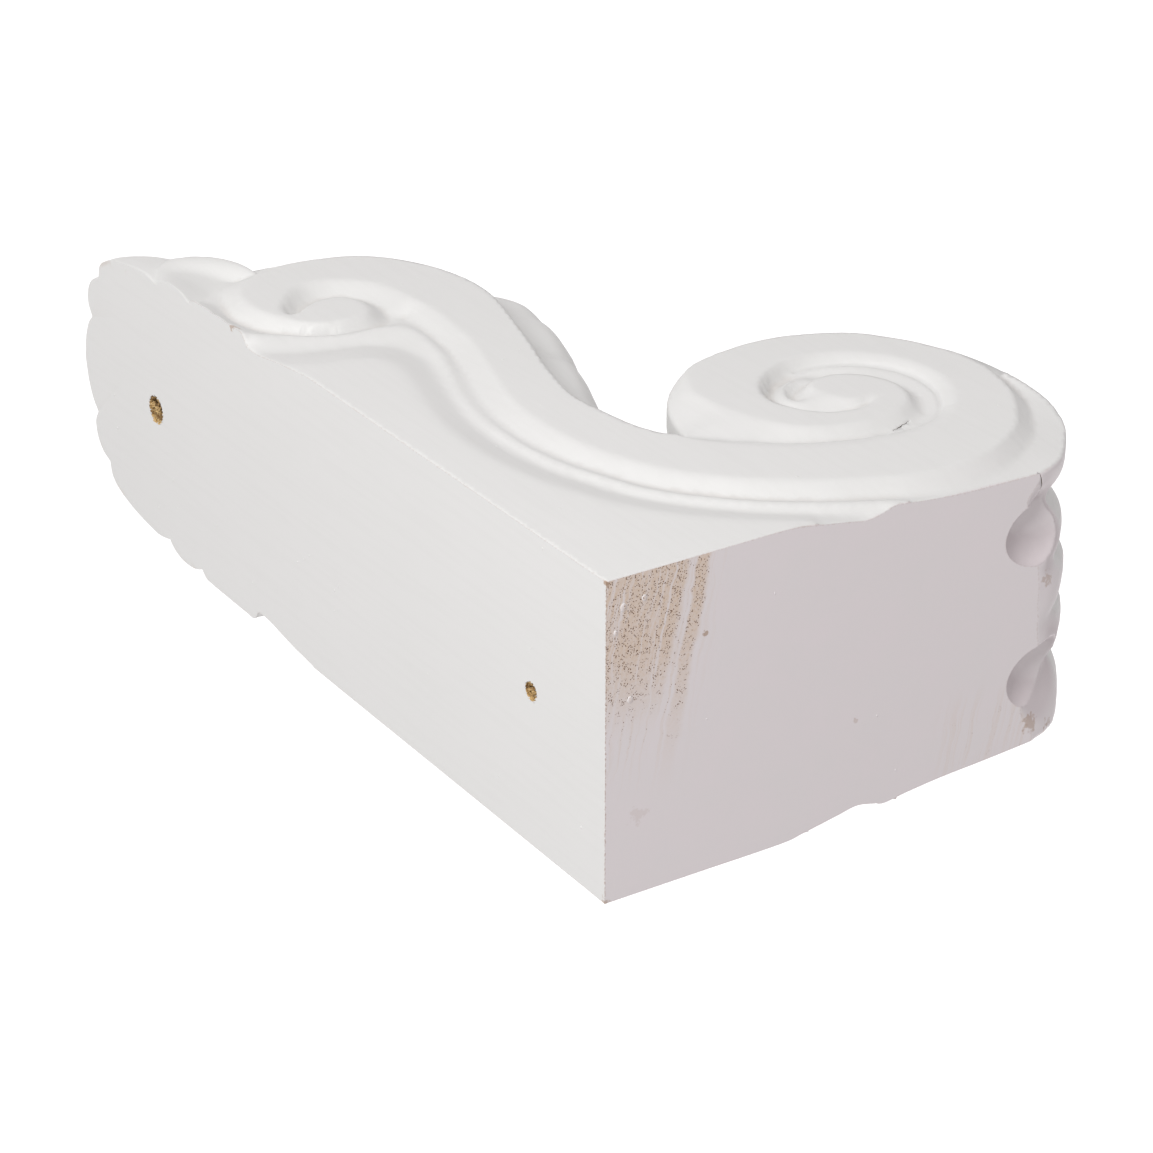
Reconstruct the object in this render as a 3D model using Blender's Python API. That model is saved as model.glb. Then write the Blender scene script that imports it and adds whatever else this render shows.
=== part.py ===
"""Scroll corbel: one block of wood, carved on both sides with an S scroll and in front with acanthus.

Frame: the back face lies on y = 0 and goes against the wall, the corbel projects towards -Y, +Z is up,
and x = 0 is the middle of its width. Points on the carved side are given in millimetres as
(down, out, half): down from the top face, out from the wall, and half the width there.
"""
import math

import bmesh
import bpy
import numpy as np
from mathutils import Matrix, Vector
from mathutils.geometry import delaunay_2d_cdt

MM = 0.001

# Driving dimensions, in millimetres
HALF = 50.0            # half the width, at the flat scroll bands and at the wall
GROUND = 45.5          # half the width at the bottom of the carved grooves
BEAD = 47.8            # half the width along the crest of the bead
TOP_FRONT = 149.0      # how far the flat top face reaches out from the wall
LEDGE = 44.3           # half the width of the ledge round the large volute
BLOCK_BOTTOM = 243.0   # where the side of the block ends on the wall, above the drop
MOUNT_DOWN = 120.0     # from the top face to the wall mount, where the part's origin is

GROOVE_OUT = 2.6       # from the back edge of the band to the fine groove beside it
BEAD_OUT = 13.0        # from there to the crest of the bead
FOOT_OUT = 18.7        # and to the foot of the cove
COVE_OUT = 33.0        # and to where the cove meets the plain field

DROP_HEART = 236.0     # point that the drop's lobes fan out from, down from the top
DROP_TIP = 324.5       # the lowest point
DROP_DOWN = [262, 275, 295, 306, 315, 324.5]      # down the drop's lower tier
DROP_THICK = [25, 22, 17.5, 13.5, 9, 5]           # and how thick it is there
DROP_CUT = 0.30        # share of the thickness that the notches between its lobes take
# Section of the lower tier from its edge on the wall: (share of the way from the heart, of the thickness)
DROP_SECTION = [(1, 0), (1.005, 0.3), (1, 0.55), (0.98, 0.8), (0.93, 0.95), (0.84, 1), (0.55, 1)]

COLLAR_SIDE = 30.0     # how thick the drop's upper tier is at its sides
COLLAR_MIDDLE = 37.0   # and in front
COLLAR_HANG = 14.5     # how far it flares down beyond its foot on the wall
COLLAR_FLARE = 2.0     # and how far its side lobes flare out sideways
COLLAR_HOLLOW = 4.5    # how deep its side lobes are hollowed behind their rim
# Section of the upper tier: (share of the thickness, share of the hang)
COLLAR_SECTION = [(0, 0), (0.17, 0.6), (0.28, 0.9), (0.4, 1), (0.6, 0.92), (0.78, 0.65), (0.9, 0.32),
                  (0.97, -0.05), (1, -0.4)]

LEAN = 3.5             # how much further the top of the front stands out at -X than at +X
SHIFT = 3.0            # how far the reeds there sit towards +X
SCOOP_RADII = (11.0, 14.0, 8.5)
SCOOPS = [(25.0, 137.5), (-23.5, 141.0)]   # middle of each scoop, and how far from the wall it starts
SCREW_HOLES = [(38.0, 6.0, 30.0), (271.0, 10.0, 15.0)]   # down, diameter, depth

SAG = 0.25             # how far a facet may stray from the true curve
CURVE_STEP = 1.0       # spacing of the points read from a smooth curve before it is faceted


# ---------------------------------------------------------------- curves
def smooth(nodes, step=CURVE_STEP):
    """Points of the Catmull-Rom curve through the nodes."""
    nodes = np.array(nodes, float)
    knots = np.vstack([2 * nodes[0] - nodes[1], nodes, 2 * nodes[-1] - nodes[-2]])
    points = []
    for p0, p1, p2, p3 in zip(knots, knots[1:], knots[2:], knots[3:]):
        count = max(2, round(float(np.linalg.norm(p2 - p1)) / step))
        for t in np.arange(count) / count:
            points.append(0.5 * (2 * p1 + (p2 - p0) * t + (2 * p0 - 5 * p1 + 4 * p2 - p3) * t * t
                                 + (3 * p1 - p0 - 3 * p2 + p3) * t ** 3))
    points.append(nodes[-1])
    return np.array(points)


def level(nodes, half):
    """Nodes (down, out) at one half width, or with it running evenly between two."""
    first, last = half if isinstance(half, tuple) else (half, half)
    return [(down, out, first + (last - first) * k / (len(nodes) - 1))
            for k, (down, out) in enumerate(nodes)]


def spiral(centre, start, end, radii, half=HALF):
    """A turning curve given by its radii at even angles, counted from straight up towards the front."""
    angles = np.radians(np.linspace(start, end, len(radii)))
    turn = smooth(np.stack([angles * np.mean(radii), radii], axis=1))
    turn[:, 0] /= np.mean(radii)
    return np.stack([centre[0] - turn[:, 1] * np.cos(turn[:, 0]),
                     centre[1] + turn[:, 1] * np.sin(turn[:, 0]), np.full(len(turn), half)], axis=1)


def travel(points):
    """Length along a curve up to each of its points."""
    steps = np.linalg.norm(np.diff(points[:, :2], axis=0), axis=1)
    return np.concatenate([[0.0], np.cumsum(steps)])


def offset(points, away, half):
    """The curve moved sideways; away and half are even, or run through values spread along it."""
    share = travel(points) / travel(points)[-1]
    away, half = (np.interp(share, np.linspace(0, 1, np.size(v)), np.atleast_1d(v)) for v in (away, half))
    ahead = np.gradient(points[:, :2], axis=0)
    ahead /= np.linalg.norm(ahead, axis=1)[:, None]
    return np.stack([points[:, 0] + ahead[:, 1] * away, points[:, 1] - ahead[:, 0] * away, half], axis=1)


def facet(points, sag=SAG):
    """The fewest of the points that keep every facet within the sag of the curve."""
    if len(points) < 3:
        return points
    chord = points[-1] - points[0]
    along = np.clip((points - points[0]) @ chord / max(float(chord @ chord), 1e-9), 0, 1)
    stray = np.linalg.norm(points - points[0] - along[:, None] * chord, axis=1)
    worst = int(stray.argmax())
    if stray[worst] <= sag:
        return points[[0, -1]]
    return np.vstack([facet(points[:worst + 1], sag)[:-1], facet(points[worst:], sag)])


# ---------------------------------------------------------------- the block's outline, seen from the side
def outline():
    """The closed outline, from the wall along the top, round the front and back up the wall."""
    top = smooth([(0, 0, 50), (0, 30, 50), (0, 60, 50), (0, 68, 49), (0, 80, 47), (0, 87, 45.8),
                  (0, 93, 46.9), (0, 97, 48), (0, 105, 47), (0, 118, 45.8), (0, 135, 45),
                  (0, TOP_FRONT, LEDGE)])
    ledge = smooth([(0, TOP_FRONT, LEDGE), (1.5, 154, LEDGE), (5.5, 161.4, LEDGE), (12, 168.3, LEDGE),
                    (21, 175.7, 44.7), (30, 180.3, 45.4), (40, 183.4, 46), (52, 183.8, 47.2),
                    (65, 181.5, 48.6), (76, 176.2, HALF)])
    rim = smooth(level([(76, 176.2), (91, 169.6), (105, 158.3), (113, 141.5), (114.8, 127),
                        (113.5, 115)], HALF))
    under = smooth([(113.5, 115, HALF), (110.5, 101, 47.8), (106.5, 94, 46.6), (101, 88, 45.8),
                    (94.5, 83.6, 45.3), (87.5, 80.6, 45), (80, 78.2, 45), (74, 75.6, 46),
                    (69.8, 71.8, 48)])
    stem = smooth(level([(69.8, 69.8), (75.2, 66.2), (83, 63.4), (97, 61.2), (111, 60.4), (130, 64.5),
                         (158, 73.1), (186.6, 81), (200, 82.6), (213, 81.5), (224.8, 77.8),
                         (234, 73), (241.5, 66.6), (246.5, 59), (249, 50)], HALF))
    foot = smooth([(249, 50, 50), (254.8, 41.5, 47.8), (259, 32, 46.5), (259, 25, 46),
                   (251, 9, 46), (BLOCK_BOTTOM, 0, 47)])
    wall = smooth([(BLOCK_BOTTOM, 0, 47), (240.5, 0, 49), (236, 0, 49.6), (212, 0, 49.5), (206, 0, 48),
                   (203, 0, 45.8), (198, 0, 45.8), (190, 0, 48), (182, 0, 49.5), (174, 0, 50),
                   (90, 0, 50), (0, 0, 50)])
    parts = [facet(part)[:-1] for part in (top, ledge, rim, under, stem, foot, wall)]
    return np.vstack(parts)


# ---------------------------------------------------------------- lines carved in the side
def cut_at_top(points):
    """The line from its start to where it leaves through the top face."""
    above = np.nonzero(points[:, 0] < 0)[0]
    if not len(above):
        return points
    inside, past = points[above[0] - 1], points[above[0]]
    crossing = inside + (past - inside) * inside[0] / (inside[0] - past[0])
    crossing[0] = 0
    return np.vstack([points[:above[0]], crossing])


def band_back():
    """Back edge of the flat band, from the small volute up the stem and over the large volute."""
    return smooth(level([(195, 59.4), (180, 58.2), (160, 55), (140, 49), (120, 43), (105, 40.7),
                         (90, 40.5), (75, 42.9), (60, 48), (50, 53), (40, 61), (30, 72), (20, 87),
                         (14, 100), (10, 110), (8.5, 125), (11, 140), (20, 156), (30, 165),
                         (42, 172.5), (58, 177.2), (69, 177.4), (76, 176.2)], HALF))


def moulding(back):
    """The fine groove, the bead and the cove that follow the band, and their ends at the bottom."""
    groove = offset(back, (-5.5, -3.5, -GROOVE_OUT, -GROOVE_OUT, -GROOVE_OUT, -1.6),
                    (GROUND, GROUND, GROUND, LEDGE - 0.6, LEDGE - 0.6, 48))
    groove = np.vstack([groove[travel(groove) < 0.97 * travel(groove)[-1]], back[-1]])
    bead = cut_at_top(offset(back, -BEAD_OUT, BEAD))
    foot = cut_at_top(offset(back, -FOOT_OUT, GROUND))
    cove = cut_at_top(offset(back, -COVE_OUT, HALF))
    hollow = cut_at_top(offset(back, -0.55 * FOOT_OUT - 0.45 * COVE_OUT, GROUND + 1.2))
    bead_end = smooth([(196.5, 47.5, GROUND + 0.5), (188, 46.5, 47), (176, 44.6, BEAD)])
    foot_end = smooth([(198, 0, GROUND + 0.3), (190, 9, GROUND), (187.5, 22, GROUND), (186, 31, GROUND),
                       (181, 37.5, GROUND), (173, 38.6, GROUND)])
    hollow_end = smooth([(188, 0, 48), (183, 10, GROUND + 1.2), (180.5, 20, GROUND + 1.2),
                         (176.5, 28, GROUND + 1.2), (168, 31.5, GROUND + 1.2)])
    cove_end = smooth([(178, 0, HALF), (175, 10, HALF), (168, 17.5, HALF), (157, 19.8, HALF),
                       (148, 18.6, HALF)])
    lines = [groove]
    for end, line in ((bead_end, bead), (foot_end, foot), (hollow_end, hollow), (cove_end, cove)):
        lines.append(np.vstack([end, line[line[:, 0] < end[-1, 0] - 6]]))
    return lines


def large_volute():
    """Edges of the band as it winds in, and the two grooves between its turns."""
    inner = spiral((76, 122), -83.2, 417.1, [52.6, 44.6, 41.6, 42.5, 44.2, 42.5, 38, 31.2, 24.3, 18.6,
                                             15.4, 14.3, 14.3, 14.5, 16.3, 18.8, 21.1, 20.2])
    second = smooth(level([(113.5, 115), (110.5, 104), (105.5, 97), (98, 93.3), (91.8, 91.4),
                           (80, 92.3), (68.9, 95.6), (57.2, 101.5), (51, 110), (47.6, 123), (50, 137),
                           (56, 144), (65, 146.5), (74, 143.6), (80, 137), (81.3, 130), (78.5, 124),
                           (73, 123.4), (66, 125.8), (62.2, 130.5), (65, 138.9)], HALF))
    count = int(0.72 * len(inner))
    groove = offset(inner[4:count], (3.5, 2.6), (GROUND, GROUND + 0.5))
    ridge = smooth([(91, 131, GROUND + 1.5), (89.5, 124, 47.6), (83, 117, 48), (76.5, 112, 48.5)])
    hollow = smooth([(64, 136.5, 48.5), (60, 131.5, 47), (59.2, 124, GROUND), (62.5, 118, GROUND),
                     (68, 114.5, GROUND), (76, 116, GROUND - 0.7), (83, 120.5, GROUND - 0.7),
                     (86, 128, GROUND), (84.5, 137, 46.5)])
    return [inner, second, groove, ridge, hollow]


def small_volute():
    """The foot of the S: the band winds in to a flat eye, with a hollow beside it and a roll behind."""
    outer = smooth(level([(249, 50), (250, 42), (249, 33), (246, 25), (240, 17), (230, 13), (220, 13.5),
                          (210, 16.5), (203, 19.5), (198.6, 25), (197, 32), (198.5, 38.5), (203, 42.8),
                          (210, 43.6), (216, 41.5), (219, 36), (216.5, 31), (212.8, 28), (211, 24),
                          (212, 20.5), (215, 18), (221, 20.5), (228, 26.5), (232.5, 33), (233, 41),
                          (229, 49), (222, 55), (213, 58.3), (205, 59.2), (195, 59.4)], HALF))
    ring = smooth([(257, 33, GROUND + 0.8), (250.5, 16.5, GROUND + 0.5), (242, 10.4, GROUND),
                   (231, 7.4, GROUND), (221, 7.4, GROUND), (212, 9.6, GROUND), (204.8, 14.4, GROUND),
                   (198.5, 20.5, GROUND), (193.8, 29, GROUND), (193, 38, GROUND), (196.5, 47.5, GROUND),
                   (203, 53, GROUND), (211.5, 56, GROUND), (218, 54.5, GROUND), (225, 48.5, GROUND),
                   (229.5, 41, GROUND - 1), (229, 34, GROUND - 2), (225, 29, GROUND - 2.5),
                   (218.5, 24.5, GROUND - 2)])
    return [outer, ring]


def side_lines():
    back = band_back()
    return [back, *moulding(back), *large_volute(), *small_volute()]


# ---------------------------------------------------------------- the front, across its width
# Each profile runs from the side's edge to the middle: (distance from the middle, rise of the surface).
TOP_EDGE = [(44.3, 0), (43, 0), (40.5, -1), (37.5, -3), (34, -4.5), (30, -1.5), (25, 0.8), (19, 1),
            (14, 1.2), (9.5, 1.5), (5, 2), (0, 2)]
REEDS = [(44.3, 0), (42.5, 0), (38, -0.2), (34, -0.8), (30, -2.6), (25, -6), (20.5, -2.4), (16, 0),
         (11, 0.8), (6, 0), (3, -0.8), (0, -1)]
REEDS_FULL = 20.0      # how far round from the top edge the reeds have their full depth
LEAF_DOWN = [70, 84, 100, 130, 165, 200, 222, 240, 250]      # down the stem, from the bay to the foot
LEAF_RISE = [0, 3, 8, 16.5, 18.5, 21, 18, 9, 3]
LEAF_HALF = [24, 31, 38, 41, 42.5, 42, 39, 34, 31]
LOBE_PITCH = 26.0      # length of the leaf's lobes down the stem
LOBE_CUT = 4.5         # how far the notches between them reach in


def leaf_profile(down, edge):
    """The acanthus leaf on the stem, across one half, at one height."""
    rise = float(np.interp(down, LEAF_DOWN, LEAF_RISE))
    half = float(np.interp(down, LEAF_DOWN, LEAF_HALF))
    phase = ((down - LEAF_DOWN[0]) / LOBE_PITCH) % 1.0
    half -= LOBE_CUT * (1 - math.sin(math.pi * min(1.0, phase * 1.15)) ** 0.5 if phase < 0.87 else 1)
    share = min(1.0, rise / 6)
    return [(edge, 0), (edge - 3, 0), (half + 3.5, 0), (half + 1.5, -1.2 * share), (half, 0.45 * rise),
            (half - 2.5, 0.8 * rise), (0.74 * half, rise + 1.2 * share), (0.52 * half, rise - 1.6 * share),
            (0.36 * half, rise + 1.0 * share), (0.2 * half, rise + 1.4 * share),
            (0.08 * half, rise - 1.2 * share), (0, rise + 0.4 * share)]


def reed_profile(edge, past_top, before_bay):
    """The reeds that run from the top edge over the front of the large volute and fade in the bay."""
    mix, strength, scale = min(1, past_top / REEDS_FULL), min(1, before_bay / 60), edge / REEDS[0][0]
    return [(scale * (x0 + (x1 - x0) * mix), strength * (r0 + (r1 - r0) * mix))
            for (x0, r0), (x1, r1) in zip(TOP_EDGE, REEDS)]


def front_profile(down, edge, past_top, past_bay):
    """Profile across the front at one point of the outline: reeds above the bay, the leaf below it."""
    if past_bay < 0:
        return reed_profile(edge, past_top, -past_bay)
    fade = min(1.0, past_bay / 20)
    return [(x, rise * fade) for x, rise in leaf_profile(down, edge)]


# ---------------------------------------------------------------- mesh
def at(down, out, half):
    """A point of the carved side, as a vector in metres."""
    return Vector((half, -out, -down)) * MM


def half_block():
    """The half of the block at +X, open only at x = 0."""
    loop, lines = outline(), [facet(line) for line in side_lines()]
    points, edges = [tuple(p) for p in loop], []
    for line in lines:
        first = len(points)
        points += [tuple(p) for p in line]
        edges += [(first + k, first + k + 1) for k in range(len(line) - 1)]
    ring = list(range(len(loop)))
    found, _, faces, origins, _, inside = delaunay_2d_cdt([Vector(p[:2]) for p in points], edges,
                                                          [ring[::-1]], 0, 1e-4, True)
    faces = [face for face, within in zip(faces, inside) if within]
    segments = edges + list(zip(ring, ring[1:] + ring[:1]))
    starts = np.array([points[a] for a, b in segments])
    spans = np.array([points[b] for a, b in segments]) - starts

    def half_at(co):
        """Half the width where two lines cross, read from the outline or the nearest line."""
        reach = np.clip(((np.array(co) - starts[:, :2]) * spans[:, :2]).sum(axis=1)
                        / np.maximum((spans[:, :2] ** 2).sum(axis=1), 1e-9), 0, 1)
        gap = np.linalg.norm(starts[:, :2] + reach[:, None] * spans[:, :2] - np.array(co), axis=1)
        gap[len(edges):] -= 1e-3
        near = int(gap.argmin())
        return starts[near, 2] + reach[near] * spans[near, 2]

    bm = bmesh.new()
    verts = []
    for co, sources in zip(found, origins):
        given = [points[k][2] for k in sources if k < len(points)]
        verts.append(bm.verts.new(at(co.x, co.y, given[0] if given else half_at(co))))
    for face in faces:
        bm.faces.new([verts[k] for k in face])
    for vert in [v for v in bm.verts if not v.link_faces]:
        bm.verts.remove(vert)
    bmesh.ops.recalc_face_normals(bm, faces=bm.faces)

    # walk the edge of the side sheet, starting at the top front corner
    bounds = {}
    for edge in bm.edges:
        if len(edge.link_faces) == 1:
            for vert in edge.verts:
                bounds.setdefault(vert, []).append(edge.other_vert(vert))
    corner = min(bounds, key=lambda v: (v.co - at(0, TOP_FRONT, LEDGE)).length)
    ahead = min(bounds[corner], key=lambda v: v.co.z)
    rim = [corner, ahead]
    while rim[-1] is not corner:
        rim.append(next(v for v in bounds[rim[-1]] if v is not rim[-2]))
    rim.pop()
    on_wall = [abs(v.co.y) < 1e-7 for v in rim]
    on_top = [abs(v.co.z) < 1e-7 for v in rim]
    last = on_wall.index(True)
    front = rim[:last + 1]
    wall = [v for v, flag in zip(rim, on_wall) if flag]
    top = [v for v, flag in zip(rim, on_top) if flag]
    top = top[1:] + top[:1]
    return bm, front, wall, top


def front_strip(bm, front):
    """Rows of faces from the side's edge to the middle, along the whole front."""
    path = np.array([(-v.co.z, -v.co.y) for v in front]) / MM
    along = travel(path)
    bay = int(np.argmin(np.linalg.norm(path - np.array([69.8, 70.8]), axis=1)))
    heading = np.gradient(path, axis=0)
    outward = np.stack([-heading[:, 1], heading[:, 0]], axis=1)
    outward /= np.linalg.norm(outward, axis=1)[:, None]
    outward[0] = (0, 1)
    outward[-1] = (0, 0)
    rows = []
    for k, vert in enumerate(front):
        down, out = path[k]
        edge = vert.co.x / MM
        profile = front_profile(down, edge, along[k], along[k] - along[bay])
        row = [vert]
        for x, rise in profile[1:]:
            spot = path[k] + outward[k] * rise
            row.append(bm.verts.new(at(spot[0], spot[1], x)))
        rows.append(row)
    for upper, lower in zip(rows, rows[1:]):
        for a, b, c, d in zip(upper, upper[1:], lower[1:], lower):
            bm.faces.new((a, b, c, d))
    return rows


def closed_object(name, bm, where):
    """A named object from a bmesh, in a collection."""
    bmesh.ops.recalc_face_normals(bm, faces=bm.faces)
    mesh = bpy.data.meshes.new(name)
    bm.to_mesh(mesh)
    bm.free()
    obj = bpy.data.objects.new(name, mesh)
    where.objects.link(obj)
    return obj


def by_hand(vert):
    """Set the reeds a little towards +X and the front a little further out at -X, as carved by hand."""
    def ease(part):
        part = min(1, max(0, part))
        return part * part * (3 - 2 * part)
    x, out, down = (value / MM for value in (vert.co.x, -vert.co.y, -vert.co.z))
    near_top = ease((out - 120) / 40) * ease(1 - down / 60)
    vert.co.y -= LEAN * MM * near_top * ease(-x / 25)
    vert.co.x += SHIFT * MM * near_top * ease(2 - 2 * abs(x) / HALF)


def block(where):
    """The carved block: one half as a closed sheet, and its mirror image."""
    bm, front, wall, top = half_block()
    rows = front_strip(bm, front)
    top_middle = bm.verts.new((0, 0, 0))
    bm.faces.new(top + rows[0][1:] + [top_middle])
    bm.faces.new(wall + [top_middle] + rows[-1][:0:-1])
    bmesh.ops.recalc_face_normals(bm, faces=bm.faces)
    bmesh.ops.mirror(bm, geom=bm.verts[:] + bm.edges[:] + bm.faces[:], axis="X", merge_dist=1e-5)
    for vert in bm.verts:
        by_hand(vert)
    return closed_object("corbel", bm, where)


# ---------------------------------------------------------------- the drop below the small volute
def both_sides(lobes, across):
    """Points (from the middle, down, share along the lobe, lobe) down one side and up the other.

    The last lobe is the half of the middle one.
    """
    side = []
    for number, lobe in enumerate(lobes):
        steps = np.concatenate([[0], np.cumsum(np.linalg.norm(np.diff(lobe, axis=0), axis=1))])
        span = 0.5 if number == len(lobes) - 1 else 1
        for share in np.arange(across * span) / across:
            spot = [float(np.interp(share / span * steps[-1], steps, lobe[:, k])) for k in (0, 1)]
            side.append((*spot, share, number))
    side.append((0, lobes[-1][-1, 1], 0.5, len(lobes) - 1))
    return side + [(-x, down, share, number) for x, down, share, number in side[-2::-1]]


def fan(name, where, rings, heart):
    """A solid from rings of points that close up round a heart, with a flat foot on the wall."""
    bm = bmesh.new()
    rings = [[bm.verts.new(at(*point)) for point in ring] for ring in rings]
    for outer, inner in zip(rings, rings[1:]):
        for k in range(len(outer)):
            n = (k + 1) % len(outer)
            bm.faces.new((outer[k], outer[n], inner[n], inner[k]))
    bm.faces.new(rings[0])
    middle = bm.verts.new(at(*heart))
    for k, vert in enumerate(rings[-1]):
        bm.faces.new((vert, rings[-1][(k + 1) % len(rings[-1])], middle))
    return closed_object(name, bm, where)


def drop_tip(where, across=6):
    """The lower tier: a thin fan of convex lobes that ends in the tip."""
    lobes = [smooth([(44.5, 262), (46.9, 273), (46.4, 282), (44.8, 293), (42, 303), (38.5, 308.5),
                     (33.5, 310)]),
             smooth([(33.5, 310), (31.5, 315), (27.5, 318.5), (22, 319.5), (17.5, 317)]),
             smooth([(17.5, 317), (14, 320.3), (8, 323), (0, DROP_TIP)])]
    border = [(x, down, 1 - DROP_CUT * (1 - math.sin(math.pi * share) ** 0.6))
              for x, down, share, lobe in both_sides(lobes, across)]
    border += [(-44.5, 262, 1), (-30, 228, 1), (30, 228, 1)]
    rings = []
    for reach, height in DROP_SECTION:
        ring = []
        for x, down, crown in border:
            here = DROP_HEART + (down - DROP_HEART) * reach
            crown = 1 - (1 - crown) * min(1, reach * 1.6)
            ring.append((here, float(np.interp(here, DROP_DOWN, DROP_THICK)) * height * crown, x * reach))
        rings.append(ring)
    return fan("drop_tip", where, rings, (DROP_HEART, DROP_THICK[0], 0))


def collar(where, across=6):
    """The upper tier: lobes that flare over the tip, those at the sides hollowed behind a rim."""
    lobes = [smooth([(46.3, 241), (49, 248), (49.6, 256), (48.3, 262), (46.2, 265.5)]),
             smooth([(46.2, 265.5), (41, 268), (35.5, 267), (31, 262.5)]),
             smooth([(31, 262.5), (26, 268.5), (20, 269.5), (14, 266)]),
             smooth([(14, 266), (8, 273), (0, 275)])]
    border = both_sides(lobes, across) + [(-38, 231, 0, -1), (0, 228, 0, -1), (38, 231, 0, -1)]
    sections = []
    for x, down, share, lobe in border:
        side = 1 if x > 0 else -1
        flare = share ** 1.2 if lobe == 0 else min(1, max(0, (down - 240) / 20))
        flare_out = COLLAR_FLARE * (share if lobe == 0 else 1 - 2 * share if lobe == 1 and share < 0.5 else 0)
        crease = max(0.06, 0.8 * (1 - share ** 3)) if lobe == 0 else 0.06
        hollow = COLLAR_HOLLOW * min(1, crease * 1.2) if lobe == 0 else 0
        thick = COLLAR_MIDDLE + (COLLAR_SIDE - COLLAR_MIDDLE) * (abs(x) / 47) ** 2
        if lobe > 0:
            thick -= 4 * (1 - math.sin(math.pi * share) ** 0.6)
        section = [(0, x, down), (0.5 * crease, x - 0.7 * hollow * side, down),
                   (crease, x - hollow * side, down)]
        for part in (0.12, 0.3, 0.5, 0.7, 0.85, 0.95, 1):
            away = hollow * (1 - min(1, part / 0.85)) + max(0, part - 0.8) * 8
            away -= flare_out * math.sin(math.pi * min(part, 0.9)) ** 0.4
            section.append((crease + (1 - crease) * part, x - away * side, down))
        section = [(down + COLLAR_HANG * flare * float(np.interp(height, *zip(*COLLAR_SECTION))),
                    thick * height, min(HALF - 0.1, max(0.1 - HALF, x))) for height, x, down in section]
        down, out, x = section[-1]
        for reach in (0.75, 0.4):
            section.append((DROP_HEART + (down - DROP_HEART) * reach, out + (1 - reach) * 3, x * reach))
        sections.append(section)
    return fan("collar", where, list(zip(*sections)), (DROP_HEART, COLLAR_MIDDLE + 3, 0))


# ---------------------------------------------------------------- cutters
def scoop(where, x, reach):
    """A bowl cut into the top front edge."""
    bm = bmesh.new()
    bmesh.ops.create_uvsphere(bm, u_segments=16, v_segments=8, radius=1,
                              matrix=Matrix.Diagonal((*(r * MM for r in SCOOP_RADII), 1)))
    obj = closed_object("scoop", bm, where)
    obj.location = at(0, reach + SCOOP_RADII[1], x)
    return obj


def screw_hole(where, down, diameter, depth):
    """A blind hole for a screw, from behind."""
    bm = bmesh.new()
    bmesh.ops.create_cone(bm, cap_ends=True, segments=12, radius1=diameter / 2 * MM,
                          radius2=diameter / 2 * MM, depth=2 * depth * MM,
                          matrix=Matrix.Rotation(math.pi / 2, 4, "X"))
    obj = closed_object("screw_hole", bm, where)
    obj.location = at(down, 0, 0)
    return obj


def material():
    paint = bpy.data.materials.new("white primer on wood")
    paint.use_nodes = True
    shader = paint.node_tree.nodes["Principled BSDF"]
    shader.inputs["Base Color"].default_value = (0.80, 0.78, 0.76, 1)
    shader.inputs["Roughness"].default_value = 0.6
    shader.inputs["Metallic"].default_value = 0.0
    return paint


def collection(name):
    made = bpy.data.collections.new(name)
    bpy.context.scene.collection.children.link(made)
    return made


def build():
    for obj in list(bpy.data.objects):
        bpy.data.objects.remove(obj)
    parts, cutters = collection("scroll corbel"), collection("cutters")
    corbel = block(parts)
    corbel.data.materials.append(material())
    tools = [("UNION", drop_tip(cutters)), ("UNION", collar(cutters))]
    tools += [("DIFFERENCE", scoop(cutters, *place)) for place in SCOOPS]
    tools += [("DIFFERENCE", screw_hole(cutters, *hole)) for hole in SCREW_HOLES]
    for operation, tool in tools:
        tool.hide_render = True
        tool.display_type = "WIRE"
        tool.location.z += MOUNT_DOWN * MM
        cut = corbel.modifiers.new(tool.name, "BOOLEAN")
        cut.operation, cut.solver, cut.object = operation, "EXACT", tool
    corbel.location.z = MOUNT_DOWN * MM


build()
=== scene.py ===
"""Scroll corbel of carved wood under a coat of white primer, shown from behind and above.

It stands as it hangs on a wall: the flat back is at y = 0, the volutes reach towards -Y, +Z is up.
Sizes are in millimetres; a spot on the carving is (down from the top, out from the wall, from the middle).
"""
import math
import random

import bmesh
import bpy
import numpy as np
from mathutils import Matrix, Vector, noise
from mathutils.geometry import delaunay_2d_cdt
from mathutils.kdtree import KDTree


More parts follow.
